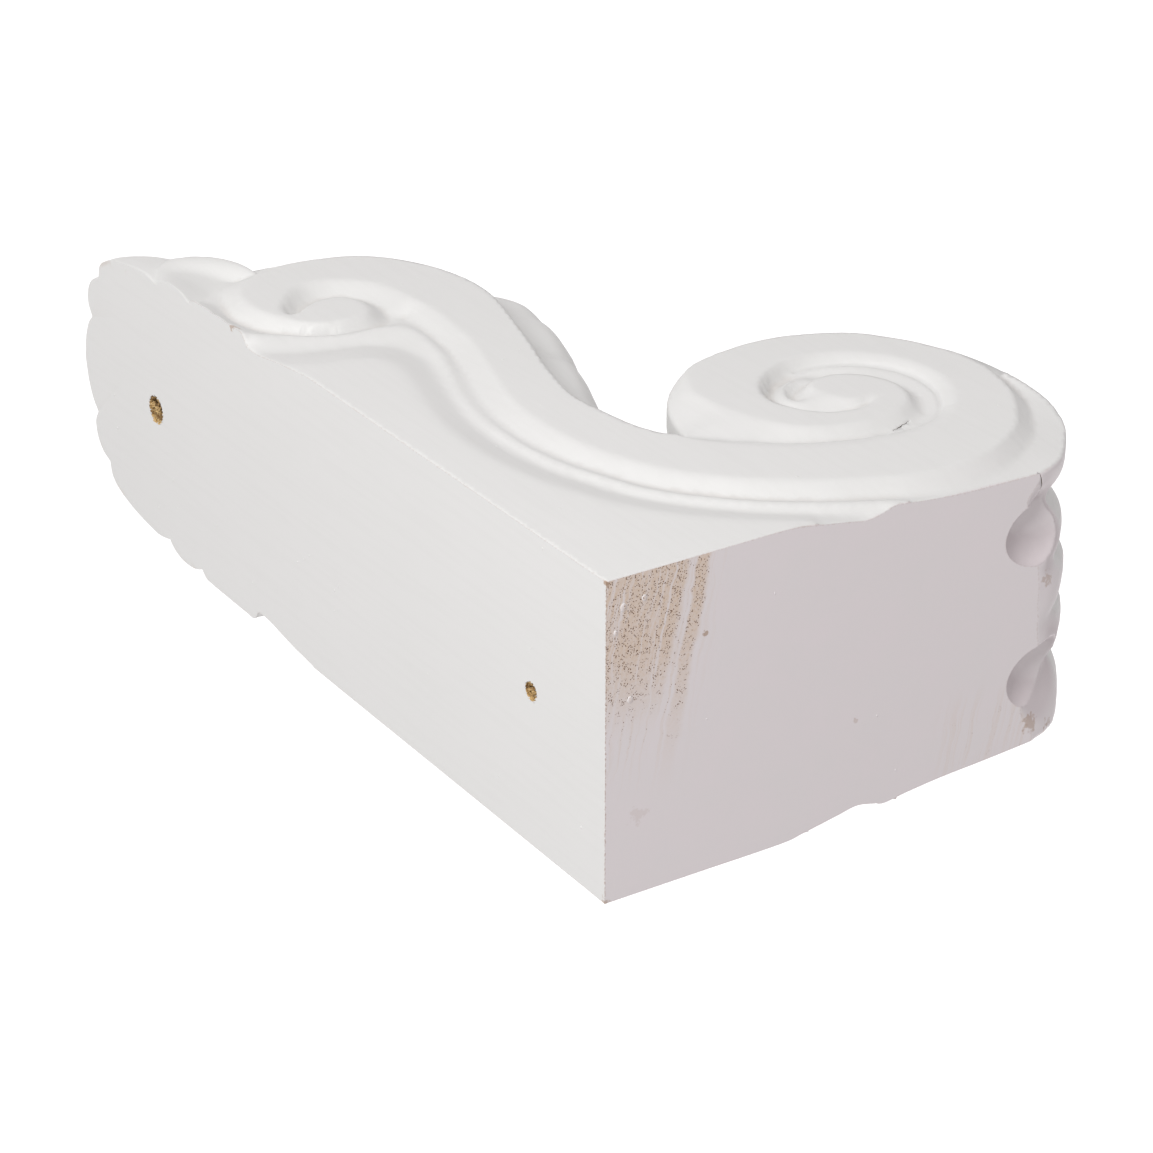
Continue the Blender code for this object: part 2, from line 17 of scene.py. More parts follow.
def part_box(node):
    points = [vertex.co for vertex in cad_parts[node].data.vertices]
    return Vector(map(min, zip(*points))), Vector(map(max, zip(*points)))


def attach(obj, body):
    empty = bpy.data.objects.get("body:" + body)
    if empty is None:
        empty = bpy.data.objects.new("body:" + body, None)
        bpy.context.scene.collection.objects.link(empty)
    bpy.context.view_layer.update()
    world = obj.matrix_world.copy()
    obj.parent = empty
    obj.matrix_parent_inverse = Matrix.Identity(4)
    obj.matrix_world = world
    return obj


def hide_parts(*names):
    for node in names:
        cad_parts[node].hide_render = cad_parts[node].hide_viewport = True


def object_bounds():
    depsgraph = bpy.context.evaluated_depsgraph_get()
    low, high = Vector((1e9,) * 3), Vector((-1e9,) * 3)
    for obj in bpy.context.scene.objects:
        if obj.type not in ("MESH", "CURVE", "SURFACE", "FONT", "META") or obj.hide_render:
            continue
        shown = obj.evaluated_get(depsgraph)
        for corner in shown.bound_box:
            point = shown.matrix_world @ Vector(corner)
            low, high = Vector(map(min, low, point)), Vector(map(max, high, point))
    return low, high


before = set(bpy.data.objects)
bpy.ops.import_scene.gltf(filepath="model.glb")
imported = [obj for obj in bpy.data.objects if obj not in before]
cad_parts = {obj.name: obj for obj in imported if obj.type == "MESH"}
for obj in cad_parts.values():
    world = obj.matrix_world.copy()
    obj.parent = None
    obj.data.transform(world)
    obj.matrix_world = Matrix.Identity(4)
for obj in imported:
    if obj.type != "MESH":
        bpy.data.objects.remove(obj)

cad_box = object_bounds()
block_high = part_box("corbel")[1]


# ------------------------------------------------------------------ the carved block: lines
# One block of wood. Both sides carry the same S scroll, cut in with gouges along lines that were drawn
# on the face of the block; every line has its own depth.
MM = 0.001
TOP = block_high.z / MM              # height of the flat top above the origin
HALF = block_high.x / MM             # half the width, at the flat scroll bands and at the wall
GROUND = 45.5                        # half the width at the bottom of the grooves
LEDGE = 44.3
TOP_FRONT = 149.0
BLOCK_BOTTOM = 243.0
GRAIN_OF_CUT = 1.35                  # spacing of the points on the carved faces


def smooth(nodes, step=0.6):
    """Points of the smooth curve through the nodes."""
    nodes = np.array(nodes, float)
    knots = np.vstack([2 * nodes[0] - nodes[1], nodes, 2 * nodes[-1] - nodes[-2]])
    points = []
    for p0, p1, p2, p3 in zip(knots, knots[1:], knots[2:], knots[3:]):
        count = max(2, round(float(np.linalg.norm(p2 - p1)) / step))
        for t in np.arange(count) / count:
            points.append(0.5 * (2 * p1 + (p2 - p0) * t + (2 * p0 - 5 * p1 + 4 * p2 - p3) * t * t
                                 + (3 * p1 - p0 - 3 * p2 + p3) * t ** 3))
    points.append(nodes[-1])
    return np.array(points)


def level(nodes, half):
    """Nodes (down, out) at one distance from the middle."""
    return [(down, out, half) for down, out in nodes]


def turning(centre, nodes):
    """A curve round a centre through nodes (degrees from straight up towards the front, radius, half)."""
    nodes = np.array(nodes, float)
    reach = nodes[:, 1].mean()
    nodes[:, 0] = np.radians(nodes[:, 0]) * reach
    path = smooth(nodes)
    angle, radius = path[:, 0] / reach, path[:, 1]
    return np.stack([centre[0] - radius * np.cos(angle), centre[1] + radius * np.sin(angle),
                     path[:, 2]], axis=1)


def travel(points, axes=2):
    """Length along a curve up to each of its points."""
    steps = np.linalg.norm(np.diff(points[:, :axes], axis=0), axis=1)
    return np.concatenate([[0.0], np.cumsum(steps)])


def evenly(points, step=GRAIN_OF_CUT, count=None):
    """The curve with its points at even steps."""
    along = travel(points, points.shape[1])
    count = count or max(1, round(along[-1] / step)) + 1
    marks = np.linspace(0, along[-1], count)
    return np.stack([np.interp(marks, along, points[:, k]) for k in range(points.shape[1])], axis=1)


def rounded(points, passes=2):
    """The curve with its corners eased and its ends kept."""
    for _ in range(passes):
        points = np.vstack([points[:1], 0.5 * points[1:-1] + 0.25 * (points[:-2] + points[2:]), points[-1:]])
    return points


def offset(points, away, half):
    """The curve moved sideways; away and half are even, or run through values spread along it."""
    share = travel(points) / travel(points)[-1]
    away, half = (np.interp(share, np.linspace(0, 1, np.size(v)), np.atleast_1d(v)) for v in (away, half))
    ahead = np.gradient(points[:, :2], axis=0)
    ahead /= np.linalg.norm(ahead, axis=1)[:, None]
    return np.stack([points[:, 0] + ahead[:, 1] * away, points[:, 1] - ahead[:, 0] * away, half], axis=1)


def cut_at_top(points):
    """The line from its start to where it leaves through the top face."""
    above = np.nonzero(points[:, 0] < 0)[0]
    if not len(above):
        return points
    inside, past = points[above[0] - 1], points[above[0]]
    crossing = inside + (past - inside) * inside[0] / (inside[0] - past[0])
    crossing[0] = 0
    return np.vstack([points[:above[0]], crossing])


# outline of the block seen from the side: the top, round the large volute, down the stem, up the wall
outline_parts = [
    smooth([(0, 0, HALF), (0, 30, HALF), (0, 60, HALF), (0, 68, 49), (0, 80, 47), (0, 87, 45.8),
            (0, 93, 46.9), (0, 97, 48), (0, 105, 47), (0, 118, 45.8), (0, 135, 45),
            (0, TOP_FRONT, LEDGE)]),
    smooth([(0, TOP_FRONT, LEDGE), (1.5, 154, LEDGE), (5.5, 161.4, LEDGE), (12, 168.3, LEDGE),
            (21, 175.7, 44.7), (30, 180.3, 45.4), (40, 183.4, 46), (52, 183.8, 47.2),
            (65, 181.5, 48.6), (76, 176.2, HALF)]),
    smooth(level([(76, 176.2), (91, 169.6), (105, 158.3), (113, 141.5), (114.8, 127),
                  (113.5, 115)], HALF)),
    smooth([(113.5, 115, HALF), (110.5, 101, 47.8), (106.5, 94, 46.6), (101, 88, 45.8),
            (94.5, 83.6, 45.3), (87.5, 80.6, 45), (80, 78.2, 45), (74, 75.6, 46), (69.8, 71.8, 48)]),
    smooth(level([(69.8, 69.8), (75.2, 66.2), (83, 63.4), (97, 61.2), (111, 60.4), (130, 64.5),
                  (158, 73.1), (186.6, 81), (200, 82.6), (213, 81.5), (224.8, 77.8), (234, 73),
                  (241.5, 66.6), (246.5, 59), (249, 50)], HALF)),
    smooth([(249, 50, HALF), (254.8, 41.5, 47.8), (259, 32, 46.5), (259, 25, 46), (251, 9, 46),
            (BLOCK_BOTTOM, 0, 47)]),
    smooth([(BLOCK_BOTTOM, 0, 47), (240.5, 0, 49), (236, 0, 49.6), (212, 0, 49.8), (206.7, 0, 49.7),
            (203.6, 0, 46.2), (200, 0, 45.8), (194.5, 0, 46.2), (187.6, 0, 47.3), (180.7, 0, 48.3),
            (173.8, 0, 49), (168, 0, 49.6), (160, 0, HALF), (90, 0, HALF), (0, 0, HALF)])]
outline = np.vstack([evenly(part)[:-1] for part in outline_parts])

# back edge of the flat band, from the small volute up the stem and over the large volute
band_back = smooth(level([(195, 59.4), (180, 58.2), (160, 55), (140, 49), (120, 43), (105, 40.7),
                          (90, 40.5), (75, 42.9), (60, 48), (50, 53), (40, 61), (30, 72), (20, 87),
                          (14, 100), (10, 110), (8.5, 125), (11, 140), (20, 156), (30, 165),
                          (42, 172.5), (58, 177.2), (69, 177.4), (76, 176.2)], HALF))

# beside the band: its rounded shoulder, a quirk cut sharp with the veiner, the bead, the foot of the
# cove and the edge of the flat field. Places away from the band and half the width there are spread
# evenly along it; bead, foot and field each have their own end round the small volute.
shoulder = offset(band_back, (1, 0.9, 0.9, 1.2, 1.6, 1.6, 1.2, 0.9, 0.5, 0.4, 0.4), HALF)[7:-7]
band_edge = offset(band_back, 0, (HALF, *[49.5] * 9, HALF))
quirk = offset(band_back, (-6.4, -6.5, -7, -6.3, -5, -4.3, -5.4, -6.3, -4.4, -4.1, -2.8),
               (46.2, 46.9, 47.3, 46.8, 46.6, 46, 46.3, 46.2, 45.8, 45.4, 46.8))
quirk = np.vstack([(198.4, 53.3, GROUND), quirk[travel(quirk) < 0.97 * travel(quirk)[-1]], band_back[-1]])
moulding = {
    "bead": ([(206.3, 0, 49.4), (204.3, 6, 48.8), (202, 12, 48.2), (198.6, 17.5, 47.8), (195, 25, 47.6),
              (193.4, 33, 47.6), (192.6, 41, 47.6), (189, 47.5, 47.5), (180.5, 49.4, 47.5)],
             offset(band_back, (-8.6, -9.4, -11.5, -9.6, -9, -9.3, -10.5, -13.5, *[-14.3] * 3),
                    (47.5, 48.1, 47.9, 47.7, 48, 48.2, 48.3, *[48] * 4))),
    "foot": ([(202, 0, 46), (198.3, 2, 45.8), (195.5, 5.7, 45.6), (193.2, 10.4, 45.4), (191.4, 15.5, 45.2),
              (189.9, 20.6, 45), (189, 24.8, 44.9), (187.5, 31.3, 44.9), (185.1, 36, 45),
              (181.5, 38.6, 45.2), (176.4, 40.4, 45.6), (168.4, 40.8, 46.1)],
             offset(band_back, (-17, -14.3, -14, -12.9, -12, -12.2, -14, -17.6, *[-18.3] * 3),
                    (45, 46.3, 46.8, 46.1, 46.1, 46, 46.2, *[45.8] * 4))),
    "field": ([(164, 0, 49.9), (168, 6, HALF), (170, 12, HALF), (169.5, 19, HALF), (166, 25, HALF),
               (160, 27.5, HALF), (152, 27, HALF)],
              offset(band_back, (-29, -25, -24, -24.5, -25, -25.5, -26, -31, *[-34] * 3), HALF))}
moulding_lines = []
for end, line in moulding.values():
    end, line = smooth(end), cut_at_top(line)
    moulding_lines.append(np.vstack([end, line[line[:, 0] < end[-1, 0] - 6]]))

# edges of the band as it winds into the large volute, and the grooves between its turns. The radii of
# the inner edge are a script's output: points placed by hand, resampled at even angles.
VOLUTE = (76, 122)
inner = turning(VOLUTE, [(-83.2 + 29.43 * k, radius, HALF) for k, radius in enumerate(
    [52.6, 44.6, 41.6, 42.5, 44.2, 42.5, 38, 31.2, 24.3, 18.6, 15.4, 14.3, 14.3, 14.5, 16.3, 18.8,
     21.1, 20.2])])
second = smooth(level([(113.5, 115), (110.5, 104), (105.5, 97), (98, 93.3), (91.8, 91.4),
                       (80, 92.3), (68.9, 95.6), (57.2, 101.5), (51, 110), (47.6, 123), (50, 137),
                       (56, 144), (65, 146.5), (74, 143.6), (80, 137), (81.3, 130), (78.5, 124),
                       (73, 123.4), (66, 125.8), (62.2, 130.5), (65, 138.9)], HALF))
volute_groove = turning(VOLUTE, [
    (-66, 39.5, 46.8), (-54, 36.6, 46.2), (-24, 34, 46), (5, 34.8, 46.1), (28, 35.6, 46.3), (48, 33, 46.3),
    (64, 30.4, 46.2), (80, 26.8, 46), (95, 23.2, 45.8), (110, 20.6, 45.5), (130, 20.2, 45.2),
    (150, 19, 45), (180, 15.8, 44.2), (210, 13.5, 43.8), (240, 12.6, 43.8), (270, 12.8, 44.2),
    (300, 13.2, 45), (330, 14.8, 45.6), (350, 16.3, 46.2), (367, 17, 46.5), (390, 18.4, 47.3),
    (402, 18.6, 48.5)])
volute_lip, volute_vein, volute_roll = (
    turning(VOLUTE, [(angle, radius - away, half + share * rise) for angle, radius, rise in
                     [(-66, 46.2, 0.6), (-54, 43.4, 0.9), (-24, 40.4, 1), (5, 41.5, 0.8),
                      (35, 44.2, -0.2), (50, 43.6, 0), (64, 42.5, 0), (80, 40.4, 0), (93.5, 38, 0),
                      (106, 34.9, 0), (122, 31.1, -0.2), (140, 27.2, -0.7), (158, 23.9, -1.2)]])
    for away, half, share in ((3.6, 48.3, 1), (4.3, 46.7, 0.3), (5.1, 47.5, 0.6)))
volute_ridge = turning(VOLUTE, [(150, 14.5, 47.2), (180, 10.6, 47.8), (210, 8.6, 48.3), (240, 7.6, 48.5),
                                (270, 7.6, 48.6), (300, 8.6, 48.8)])
volute_hollow = turning(VOLUTE, [(119, 15, 46.8), (149, 10.4, 45.6), (180, 6.8, 45), (210, 5.2, 45),
                                 (240, 4.6, 45.4), (270, 4.4, 46.2), (292, 4.8, 47.6)])

# the small volute: the band winds in to a flat eye, with a hollow beside it and a roll behind
small_edge = smooth(level([(249, 50), (250, 42), (249, 33), (246, 25), (240, 17), (230, 13), (220, 13.2),
                           (212, 15.8), (205, 19), (200, 24), (198, 30), (197.8, 36), (199, 41),
                           (203.5, 43.2), (208.5, 43.8), (212.8, 42.4), (216.2, 39.7), (217, 34),
                           (215, 28.5), (211.8, 23.8), (211, 20.6), (213.4, 18.9), (218, 20.3),
                           (223, 23.6), (229, 29), (232.6, 34.5), (232.2, 41.5), (228.7, 48),
                           (222.2, 54.3), (215, 57.4), (205, 58.6), (195, 59.4)], HALF))
small_quirk = smooth([(257, 33, GROUND + 0.8), (250.5, 16.5, GROUND + 0.5), (242, 11.2, GROUND),
                      (231, 7.6, GROUND), (221, 7.4, GROUND), (213, 10.2, GROUND),
                      (207, 14, GROUND), (200.8, 20, GROUND), (197, 26, GROUND), (195.4, 31.5, GROUND),
                      (195.2, 38, GROUND), (196.4, 44.6, GROUND), (200.4, 48.6, GROUND),
                      (205, 49.8, GROUND + 0.6), (210.5, 50, GROUND + 0.8), (216.6, 48.8, GROUND + 0.8),
                      (221.8, 45.4, GROUND + 0.6), (224.8, 40.6, GROUND + 0.3), (225, 35.4, GROUND),
                      (222.6, 30.6, GROUND), (218.6, 26.6, GROUND - 0.3), (214.8, 23, GROUND)])
bead, foot, field = moulding_lines
crisp_lines = [shoulder, quirk, bead, inner, second, volute_lip, volute_vein, volute_roll,
               volute_ridge, volute_hollow, small_edge, small_quirk]
soft_lines = [band_edge, foot, field, volute_groove]


# ------------------------------------------------------------------ the carved block: side faces
# Between the lines the gouge leaves smooth hollows and rolls. The face is a sheet of small triangles
# whose heights start on straight spans between the lines and are then eased.
EASING = 4                           # passes that ease the hollows
CARVED_DOWN, CARVED_OUT = 262, 186   # reach of the points that fill the sheet


def at(down, out, half):
    """A spot on the carving, as a vector in metres."""
    return Vector((half, -out, TOP - down)) * MM


def planar_mesh(points, edges, ring):
    """Triangles inside the ring that keep the edges, with the points that each vertex came from."""
    found, _, faces, origins, _, inside = delaunay_2d_cdt([Vector(p[:2]) for p in points], edges,
                                                          [ring[::-1]], 0, 1e-4, True)
    return found, [face for face, within in zip(faces, inside) if within], origins


def side_sheet():
    """The +X side as 2D places, triangles, heights and whether each point keeps its height."""
    lines = [evenly(line) for line in crisp_lines + soft_lines]
    points, edges = [tuple(p) for p in outline], []
    ring = list(range(len(points)))
    crisp = set(ring)
    for number, line in enumerate(lines):
        first = len(points)
        points += [tuple(p) for p in line]
        edges += [(first + k, first + k + 1) for k in range(len(line) - 1)]
        if number < len(crisp_lines):
            crisp |= set(range(first, len(points)))

    # straight spans between the lines
    found, faces, origins = planar_mesh(points, edges, ring)
    segments = edges + list(zip(ring, ring[1:] + ring[:1]))
    starts = np.array([points[a] for a, b in segments])
    spans = np.array([points[b] for a, b in segments]) - starts

    def half_at(co):
        reach = np.clip(((np.array(co) - starts[:, :2]) * spans[:, :2]).sum(axis=1)
                        / np.maximum((spans[:, :2] ** 2).sum(axis=1), 1e-9), 0, 1)
        gap = np.linalg.norm(starts[:, :2] + reach[:, None] * spans[:, :2] - np.array(co), axis=1)
        gap[len(edges):] -= 1e-3
        near = int(gap.argmin())
        return starts[near, 2] + reach[near] * spans[near, 2]

    def heights_of(found, origins):
        return [next((points[k][2] for k in sources if k < len(points)), None) for sources in origins]

    coarse = [half_at(co) if half is None else half
              for co, half in zip(found, heights_of(found, origins))]
    place, height = np.array([tuple(co) for co in found]), np.array(coarse)

    # fill the spans with evenly scattered points
    tree = KDTree(len(points))
    for k, p in enumerate(points):
        tree.insert((p[0], p[1], 0), k)
    tree.balance()
    rows = np.arange(-1, CARVED_DOWN, GRAIN_OF_CUT * 0.866)
    filling = []
    for k, down in enumerate(rows):
        for out in np.arange(GRAIN_OF_CUT * (k % 2) / 2, CARVED_OUT, GRAIN_OF_CUT):
            if tree.find((down, out, 0))[2] > 0.62 * GRAIN_OF_CUT:
                filling.append((down, out))
    filling = np.array(filling)
    filled = np.full(len(filling), np.nan)
    for a, b, c in faces:
        low = np.minimum(np.minimum(place[a], place[b]), place[c])
        high = np.maximum(np.maximum(place[a], place[b]), place[c])
        near = np.nonzero(((filling >= low - 1e-6) & (filling <= high + 1e-6)).all(axis=1))[0]
        if not len(near):
            continue
        ab, ac, ap = place[b] - place[a], place[c] - place[a], filling[near] - place[a]
        area = ab[0] * ac[1] - ab[1] * ac[0]
        if abs(area) < 1e-9:
            continue
        v = (ap[:, 0] * ac[1] - ap[:, 1] * ac[0]) / area
        w = (ab[0] * ap[:, 1] - ab[1] * ap[:, 0]) / area
        inside = (v >= -1e-6) & (w >= -1e-6) & (v + w <= 1 + 1e-6)
        filled[near[inside]] = (height[a] + v * (height[b] - height[a])
                                + w * (height[c] - height[a]))[inside]
    kept = ~np.isnan(filled)
    total = points + [(*p, h) for p, h in zip(filling[kept], filled[kept])]
    found, faces, origins = planar_mesh(total, edges, ring)
    heights, held = [], []
    for co, sources in zip(found, origins):
        given = [k for k in sources if k < len(total)]
        heights.append(total[given[0]][2] if given else half_at(co))
        held.append(not given or any(k in crisp for k in given))
    return np.array([tuple(co) for co in found]), faces, np.array(heights), np.array(held)


def eased(heights, pairs, fixed, passes):
    """Heights drawn towards the mean of their neighbours, except where fixed."""
    count = np.zeros(len(heights))
    np.add.at(count, pairs.ravel(), 1)
    for _ in range(passes):
        total = np.zeros(len(heights))
        np.add.at(total, pairs[:, 0], heights[pairs[:, 1]])
        np.add.at(total, pairs[:, 1], heights[pairs[:, 0]])
        heights = np.where(fixed | (count == 0), heights, 0.5 * heights + 0.5 * total / np.maximum(count, 1))
    return heights


place, triangles, heights, held = side_sheet()
pairs = np.array(sorted({tuple(sorted(pair)) for face in triangles
                         for pair in zip(face, face[1:] + face[:1])}))
heights = eased(heights, pairs, held, EASING)


# ------------------------------------------------------------------ the carved block: front
# Reeds run from the top edge over the large volute and fade in the bay; below it an acanthus leaf
# lies on the stem. Profiles run from the side's edge to the middle: (from the middle, rise).
TOP_EDGE = [(44.3, 0), (43, 0), (40.5, -1), (37.5, -3), (34, -4.5), (30, -1.5), (25, 0.8), (19, 1),
            (15, 1.2), (11.5, 1.3), (9, 1.5), (6, 2), (3, 2), (0, 2)]
REEDS = [(44.3, 0), (42.5, 0), (38, 0), (34, -0.8), (30, -2.6), (24.8, -5.8), (20.5, -2.2), (17, -0.3),
         (13.5, 0.3), (10.5, -0.4), (8, -2.2), (5.5, 0), (2.8, 1.3), (0, 1.6)]
REEDS_FULL = 20.0
LEAF_DOWN = [70, 84, 100, 130, 165, 200, 222, 240, 250]
LEAF_RISE = [0, 1.6, 6.5, 16.5, 18.5, 21, 18, 9, 3]
LEAF_HALF = [24, 31, 38, 41, 42.5, 42, 39, 34, 31]
LOBE_PITCH, LOBE_CUT = 31.0, 1.6
BAY_TOP = (69.8, 70.8)               # down, out: where the reeds end and the leaf begins
ACROSS = 40                          # spans from the side's edge to the middle
LEAN, SHIFT = 3.5, 4.2               # the front leans out at -X, the reeds sit towards +X


def leaf_profile(down, edge):
    """The acanthus leaf on the stem, across one half, at one height."""
    rise = float(np.interp(down, LEAF_DOWN, LEAF_RISE))
    half = float(np.interp(down, LEAF_DOWN, LEAF_HALF))
    phase = ((down - LEAF_DOWN[0]) / LOBE_PITCH) % 1.0
    half -= LOBE_CUT * (1 - math.sin(math.pi * min(1.0, phase * 1.15)) ** 0.5 if phase < 0.87 else 1)
    share = min(1.0, rise / 6)
    return [(edge, 0), (edge - 3, 0), (half + 3.5, 0), (half + 1.5, -1.2 * share), (half, 0.45 * rise),
            (half - 2.5, 0.8 * rise), (0.74 * half, rise + 1.2 * share), (0.52 * half, rise - 1.6 * share),
            (0.36 * half, rise + 1.0 * share), (0.2 * half, rise + 1.4 * share),
            (0.08 * half, rise - 1.2 * share), (0, rise + 0.4 * share)]


def front_profile(down, edge, past_top, past_bay):
    """Profile across the front at one point of the outline: reeds above the bay, the leaf below it."""
    if past_bay < 0:
        mix, strength, scale = min(1, past_top / REEDS_FULL), min(1, -past_bay / 60), edge / REEDS[0][0]
        nodes = [(scale * (x0 + (x1 - x0) * mix), strength * (r0 + (r1 - r0) * mix))
                 for (x0, r0), (x1, r1) in zip(TOP_EDGE, REEDS)]
    else:
        fade = min(1.0, past_bay / 20)
        nodes = [(x, rise * fade) for x, rise in leaf_profile(down, edge)]
    return evenly(smooth(nodes), count=ACROSS + 1)


def ease(share):
    share = min(1, max(0, share))
    return share * share * (3 - 2 * share)


def by_hand(vert):
    """Sets the reeds a little towards +X and the front a little further out at -X."""
    x, out, down = vert.co.x / MM, -vert.co.y / MM, TOP - vert.co.z / MM
    near_top = ease((out - 120) / 40) * ease(1 - down / 60)
    vert.co.y -= LEAN * MM * near_top * ease(-x / 25)
    vert.co.x += SHIFT * MM * near_top * ease(2 - 2 * abs(x) / 50)


carving = bmesh.new()
sheet = [carving.verts.new(at(*spot, half)) for spot, half in zip(place, heights)]
for triangle in triangles:
    carving.faces.new([sheet[k] for k in triangle])
for vert in [v for v in carving.verts if not v.link_faces]:
    carving.verts.remove(vert)
bmesh.ops.recalc_face_normals(carving, faces=carving.faces)

# walk the edge of the side sheet from the top front corner round to the wall and back
bounds = {}
for edge in carving.edges:
    if len(edge.link_faces) == 1:
        for vert in edge.verts:
            bounds.setdefault(vert, []).append(edge.other_vert(vert))
corner = min(bounds, key=lambda v: (v.co - at(0, TOP_FRONT, LEDGE)).length)
rim = [corner, min(bounds[corner], key=lambda v: v.co.z)]
while rim[-1] is not corner:
    rim.append(next(v for v in bounds[rim[-1]] if v is not rim[-2]))
rim.pop()
on_wall = [abs(v.co.y) < 1e-7 for v in rim]
front = rim[:on_wall.index(True) + 1]

path = np.array([(TOP - v.co.z / MM, -v.co.y / MM) for v in front])
along = travel(path)
bay = int(np.argmin(np.linalg.norm(path - np.array(BAY_TOP), axis=1)))
heading = np.gradient(path, axis=0)
outward = np.stack([-heading[:, 1], heading[:, 0]], axis=1)
outward /= np.linalg.norm(outward, axis=1)[:, None]
for _ in range(6):
    outward[1:-1] = 0.5 * outward[1:-1] + 0.25 * (outward[:-2] + outward[2:])
turned = np.array([ease(reach / 14) for reach in along])[:, None]
outward = (1 - turned) * (0, 1) + turned * outward
outward /= np.linalg.norm(outward, axis=1)[:, None]
outward[-1] = (0, 0)
lowest = int(path[:, 0].argmax())
rows = []
for k, vert in enumerate(front):
    profile = front_profile(path[k, 0], vert.co.x / MM, along[k], along[k] - along[bay])
    strength = min(1, path[k, 1] / 25) if k > lowest else 1
    row = [vert]
    for x, rise in profile[1:]:
        spot = path[k] + outward[k] * rise * strength
        row.append(carving.verts.new(at(spot[0], spot[1], x)))
    rows.append(row)
for upper, lower in zip(rows, rows[1:]):
    for quad in zip(upper, upper[1:], lower[1:], lower):
        carving.faces.new(quad)
bmesh.ops.recalc_face_normals(carving, faces=carving.faces)
bmesh.ops.mirror(carving, geom=carving.verts[:] + carving.edges[:] + carving.faces[:], axis="X",
                 merge_dist=1e-5)
for vert in carving.verts:
    by_hand(vert)


# ------------------------------------------------------------------ the carved block: flat top and back
# Sawn flat. Each gets a ring of points just inside its edge, so the edge can be worn round, and a loose
# grid inside that.
RING_IN, FLAT_GRID = 0.8, 7.0
SCOOPS = [(25.5, 137.5), (-22.4, 141.0)]                     # from the middle, and where each starts
SCREW_HOLES = [(38.0, 6.0, 30.0), (271.0, 10.0, 15.0)]      # down, diameter, depth


def open_chain(start, end, step):
    """Vertices along the open border from one vertex to another, setting out through step."""
    chain = [start, step]
    while chain[-1] is not end:
        chain.append(next(e.other_vert(chain[-1]) for e in chain[-1].link_edges
                          if len(e.link_faces) == 1 and e.other_vert(chain[-1]) is not chain[-2]))
    return chain


def fill_flat(bm, loop, axes, busy):
    """Fills a closed loop of vertices in one plane, with more points round busy spots (u, v, reach)."""
    flat = np.array([[v.co[k] / MM for k in axes] for v in loop])
    ahead, behind = np.roll(flat, -1, axis=0), np.roll(flat, 1, axis=0)
    if (flat[:, 0] * ahead[:, 1] - flat[:, 1] * ahead[:, 0]).sum() < 0:
        return fill_flat(bm, loop[::-1], axes, busy)
    tangent = (ahead - behind) / np.linalg.norm(ahead - behind, axis=1)[:, None]
    tree = KDTree(len(flat))
    for k, p in enumerate(flat):
        tree.insert((*p, 0), k)
    tree.balance()
    inner = flat + RING_IN * np.stack([-tangent[:, 1], tangent[:, 0]], axis=1)
    extra = [tuple(p) for p in inner if tree.find((*p, 0))[2] > 0.75 * RING_IN]
    low, high = flat.min(axis=0), flat.max(axis=0)
    extra += [(u, v) for u in np.arange(low[0] + 4, high[0], FLAT_GRID)
              for v in np.arange(low[1] + 4, high[1], FLAT_GRID) if tree.find((u, v, 0))[2] > 4]
    for middle_u, middle_v, reach in busy:
        for u in np.arange(middle_u - reach, middle_u + reach, 1.3):
            for v in np.arange(middle_v - reach, middle_v + reach, 1.3):
                if math.hypot(u - middle_u, v - middle_v) < reach and tree.find((u, v, 0))[2] > 1.2:
                    extra.append((u + 0.3 * math.sin(7 * v), v + 0.3 * math.sin(9 * u)))
    points = [tuple(p) for p in flat] + extra
    found, faces, origins = planar_mesh(points, [], list(range(len(flat)))[::-1])
    verts = []
    for co, sources in zip(found, origins):
        rim_source = [k for k in sources if k < len(loop)]
        spot = list(loop[0].co)
        spot[axes[0]], spot[axes[1]] = co.x * MM, co.y * MM
        verts.append(loop[rim_source[0]] if rim_source else bm.verts.new(spot))
    for face in faces:
        bm.faces.new([verts[k] for k in face])
    for vert in [v for v in verts if not v.link_faces]:
        bm.verts.remove(vert)


right, left = (min(carving.verts, key=lambda v: (v.co - at(0, 0, x)).length) for x in (HALF, -HALF))
steps = sorted((e.other_vert(right) for e in right.link_edges if len(e.link_faces) == 1),
               key=lambda v: v.co.z)
back_edge = [left] + [carving.verts.new(at(0, 0, x)) for x in np.linspace(-HALF, HALF, 76)[1:-1]] + [right]
top_loop = open_chain(right, left, steps[1]) + back_edge[1:-1]
back_loop = open_chain(right, left, steps[0]) + back_edge[1:-1]
fill_flat(carving, top_loop, (0, 1), [(x, -reach - 14, 19) for x, reach in SCOOPS])
fill_flat(carving, back_loop, (0, 2), [(0, TOP - down, 1.5 * diameter) for down, diameter, depth in
                                       SCREW_HOLES])
bmesh.ops.recalc_face_normals(carving, faces=carving.faces)


def mesh_object(name, bm):
    """A new object from a bmesh, at the origin."""
    mesh = bpy.data.meshes.new(name)
    bm.to_mesh(mesh)
    bm.free()
    obj = bpy.data.objects.new(name, mesh)
    bpy.context.scene.collection.objects.link(obj)
    return obj


corbel = mesh_object("carved_corbel", carving)


# ------------------------------------------------------------------ the drop below the small volute
# Two tiers of leaf lobes, cut from the same block: a thin fan that ends in the tip, and over it a collar
# whose side lobes are hollowed behind their rims.
DROP_HEART, DROP_TIP = 236.0, 324.5
DROP_DOWN = [262, 275, 295, 306, 315, 324.5]
DROP_THICK = [25, 22, 17.5, 13.5, 9, 5]
DROP_CUT = 0.30
COLLAR_SIDE, COLLAR_MIDDLE, COLLAR_HANG = 30.0, 37.0, 14.5
COLLAR_FLARE, COLLAR_HOLLOW = 2.0, 4.5
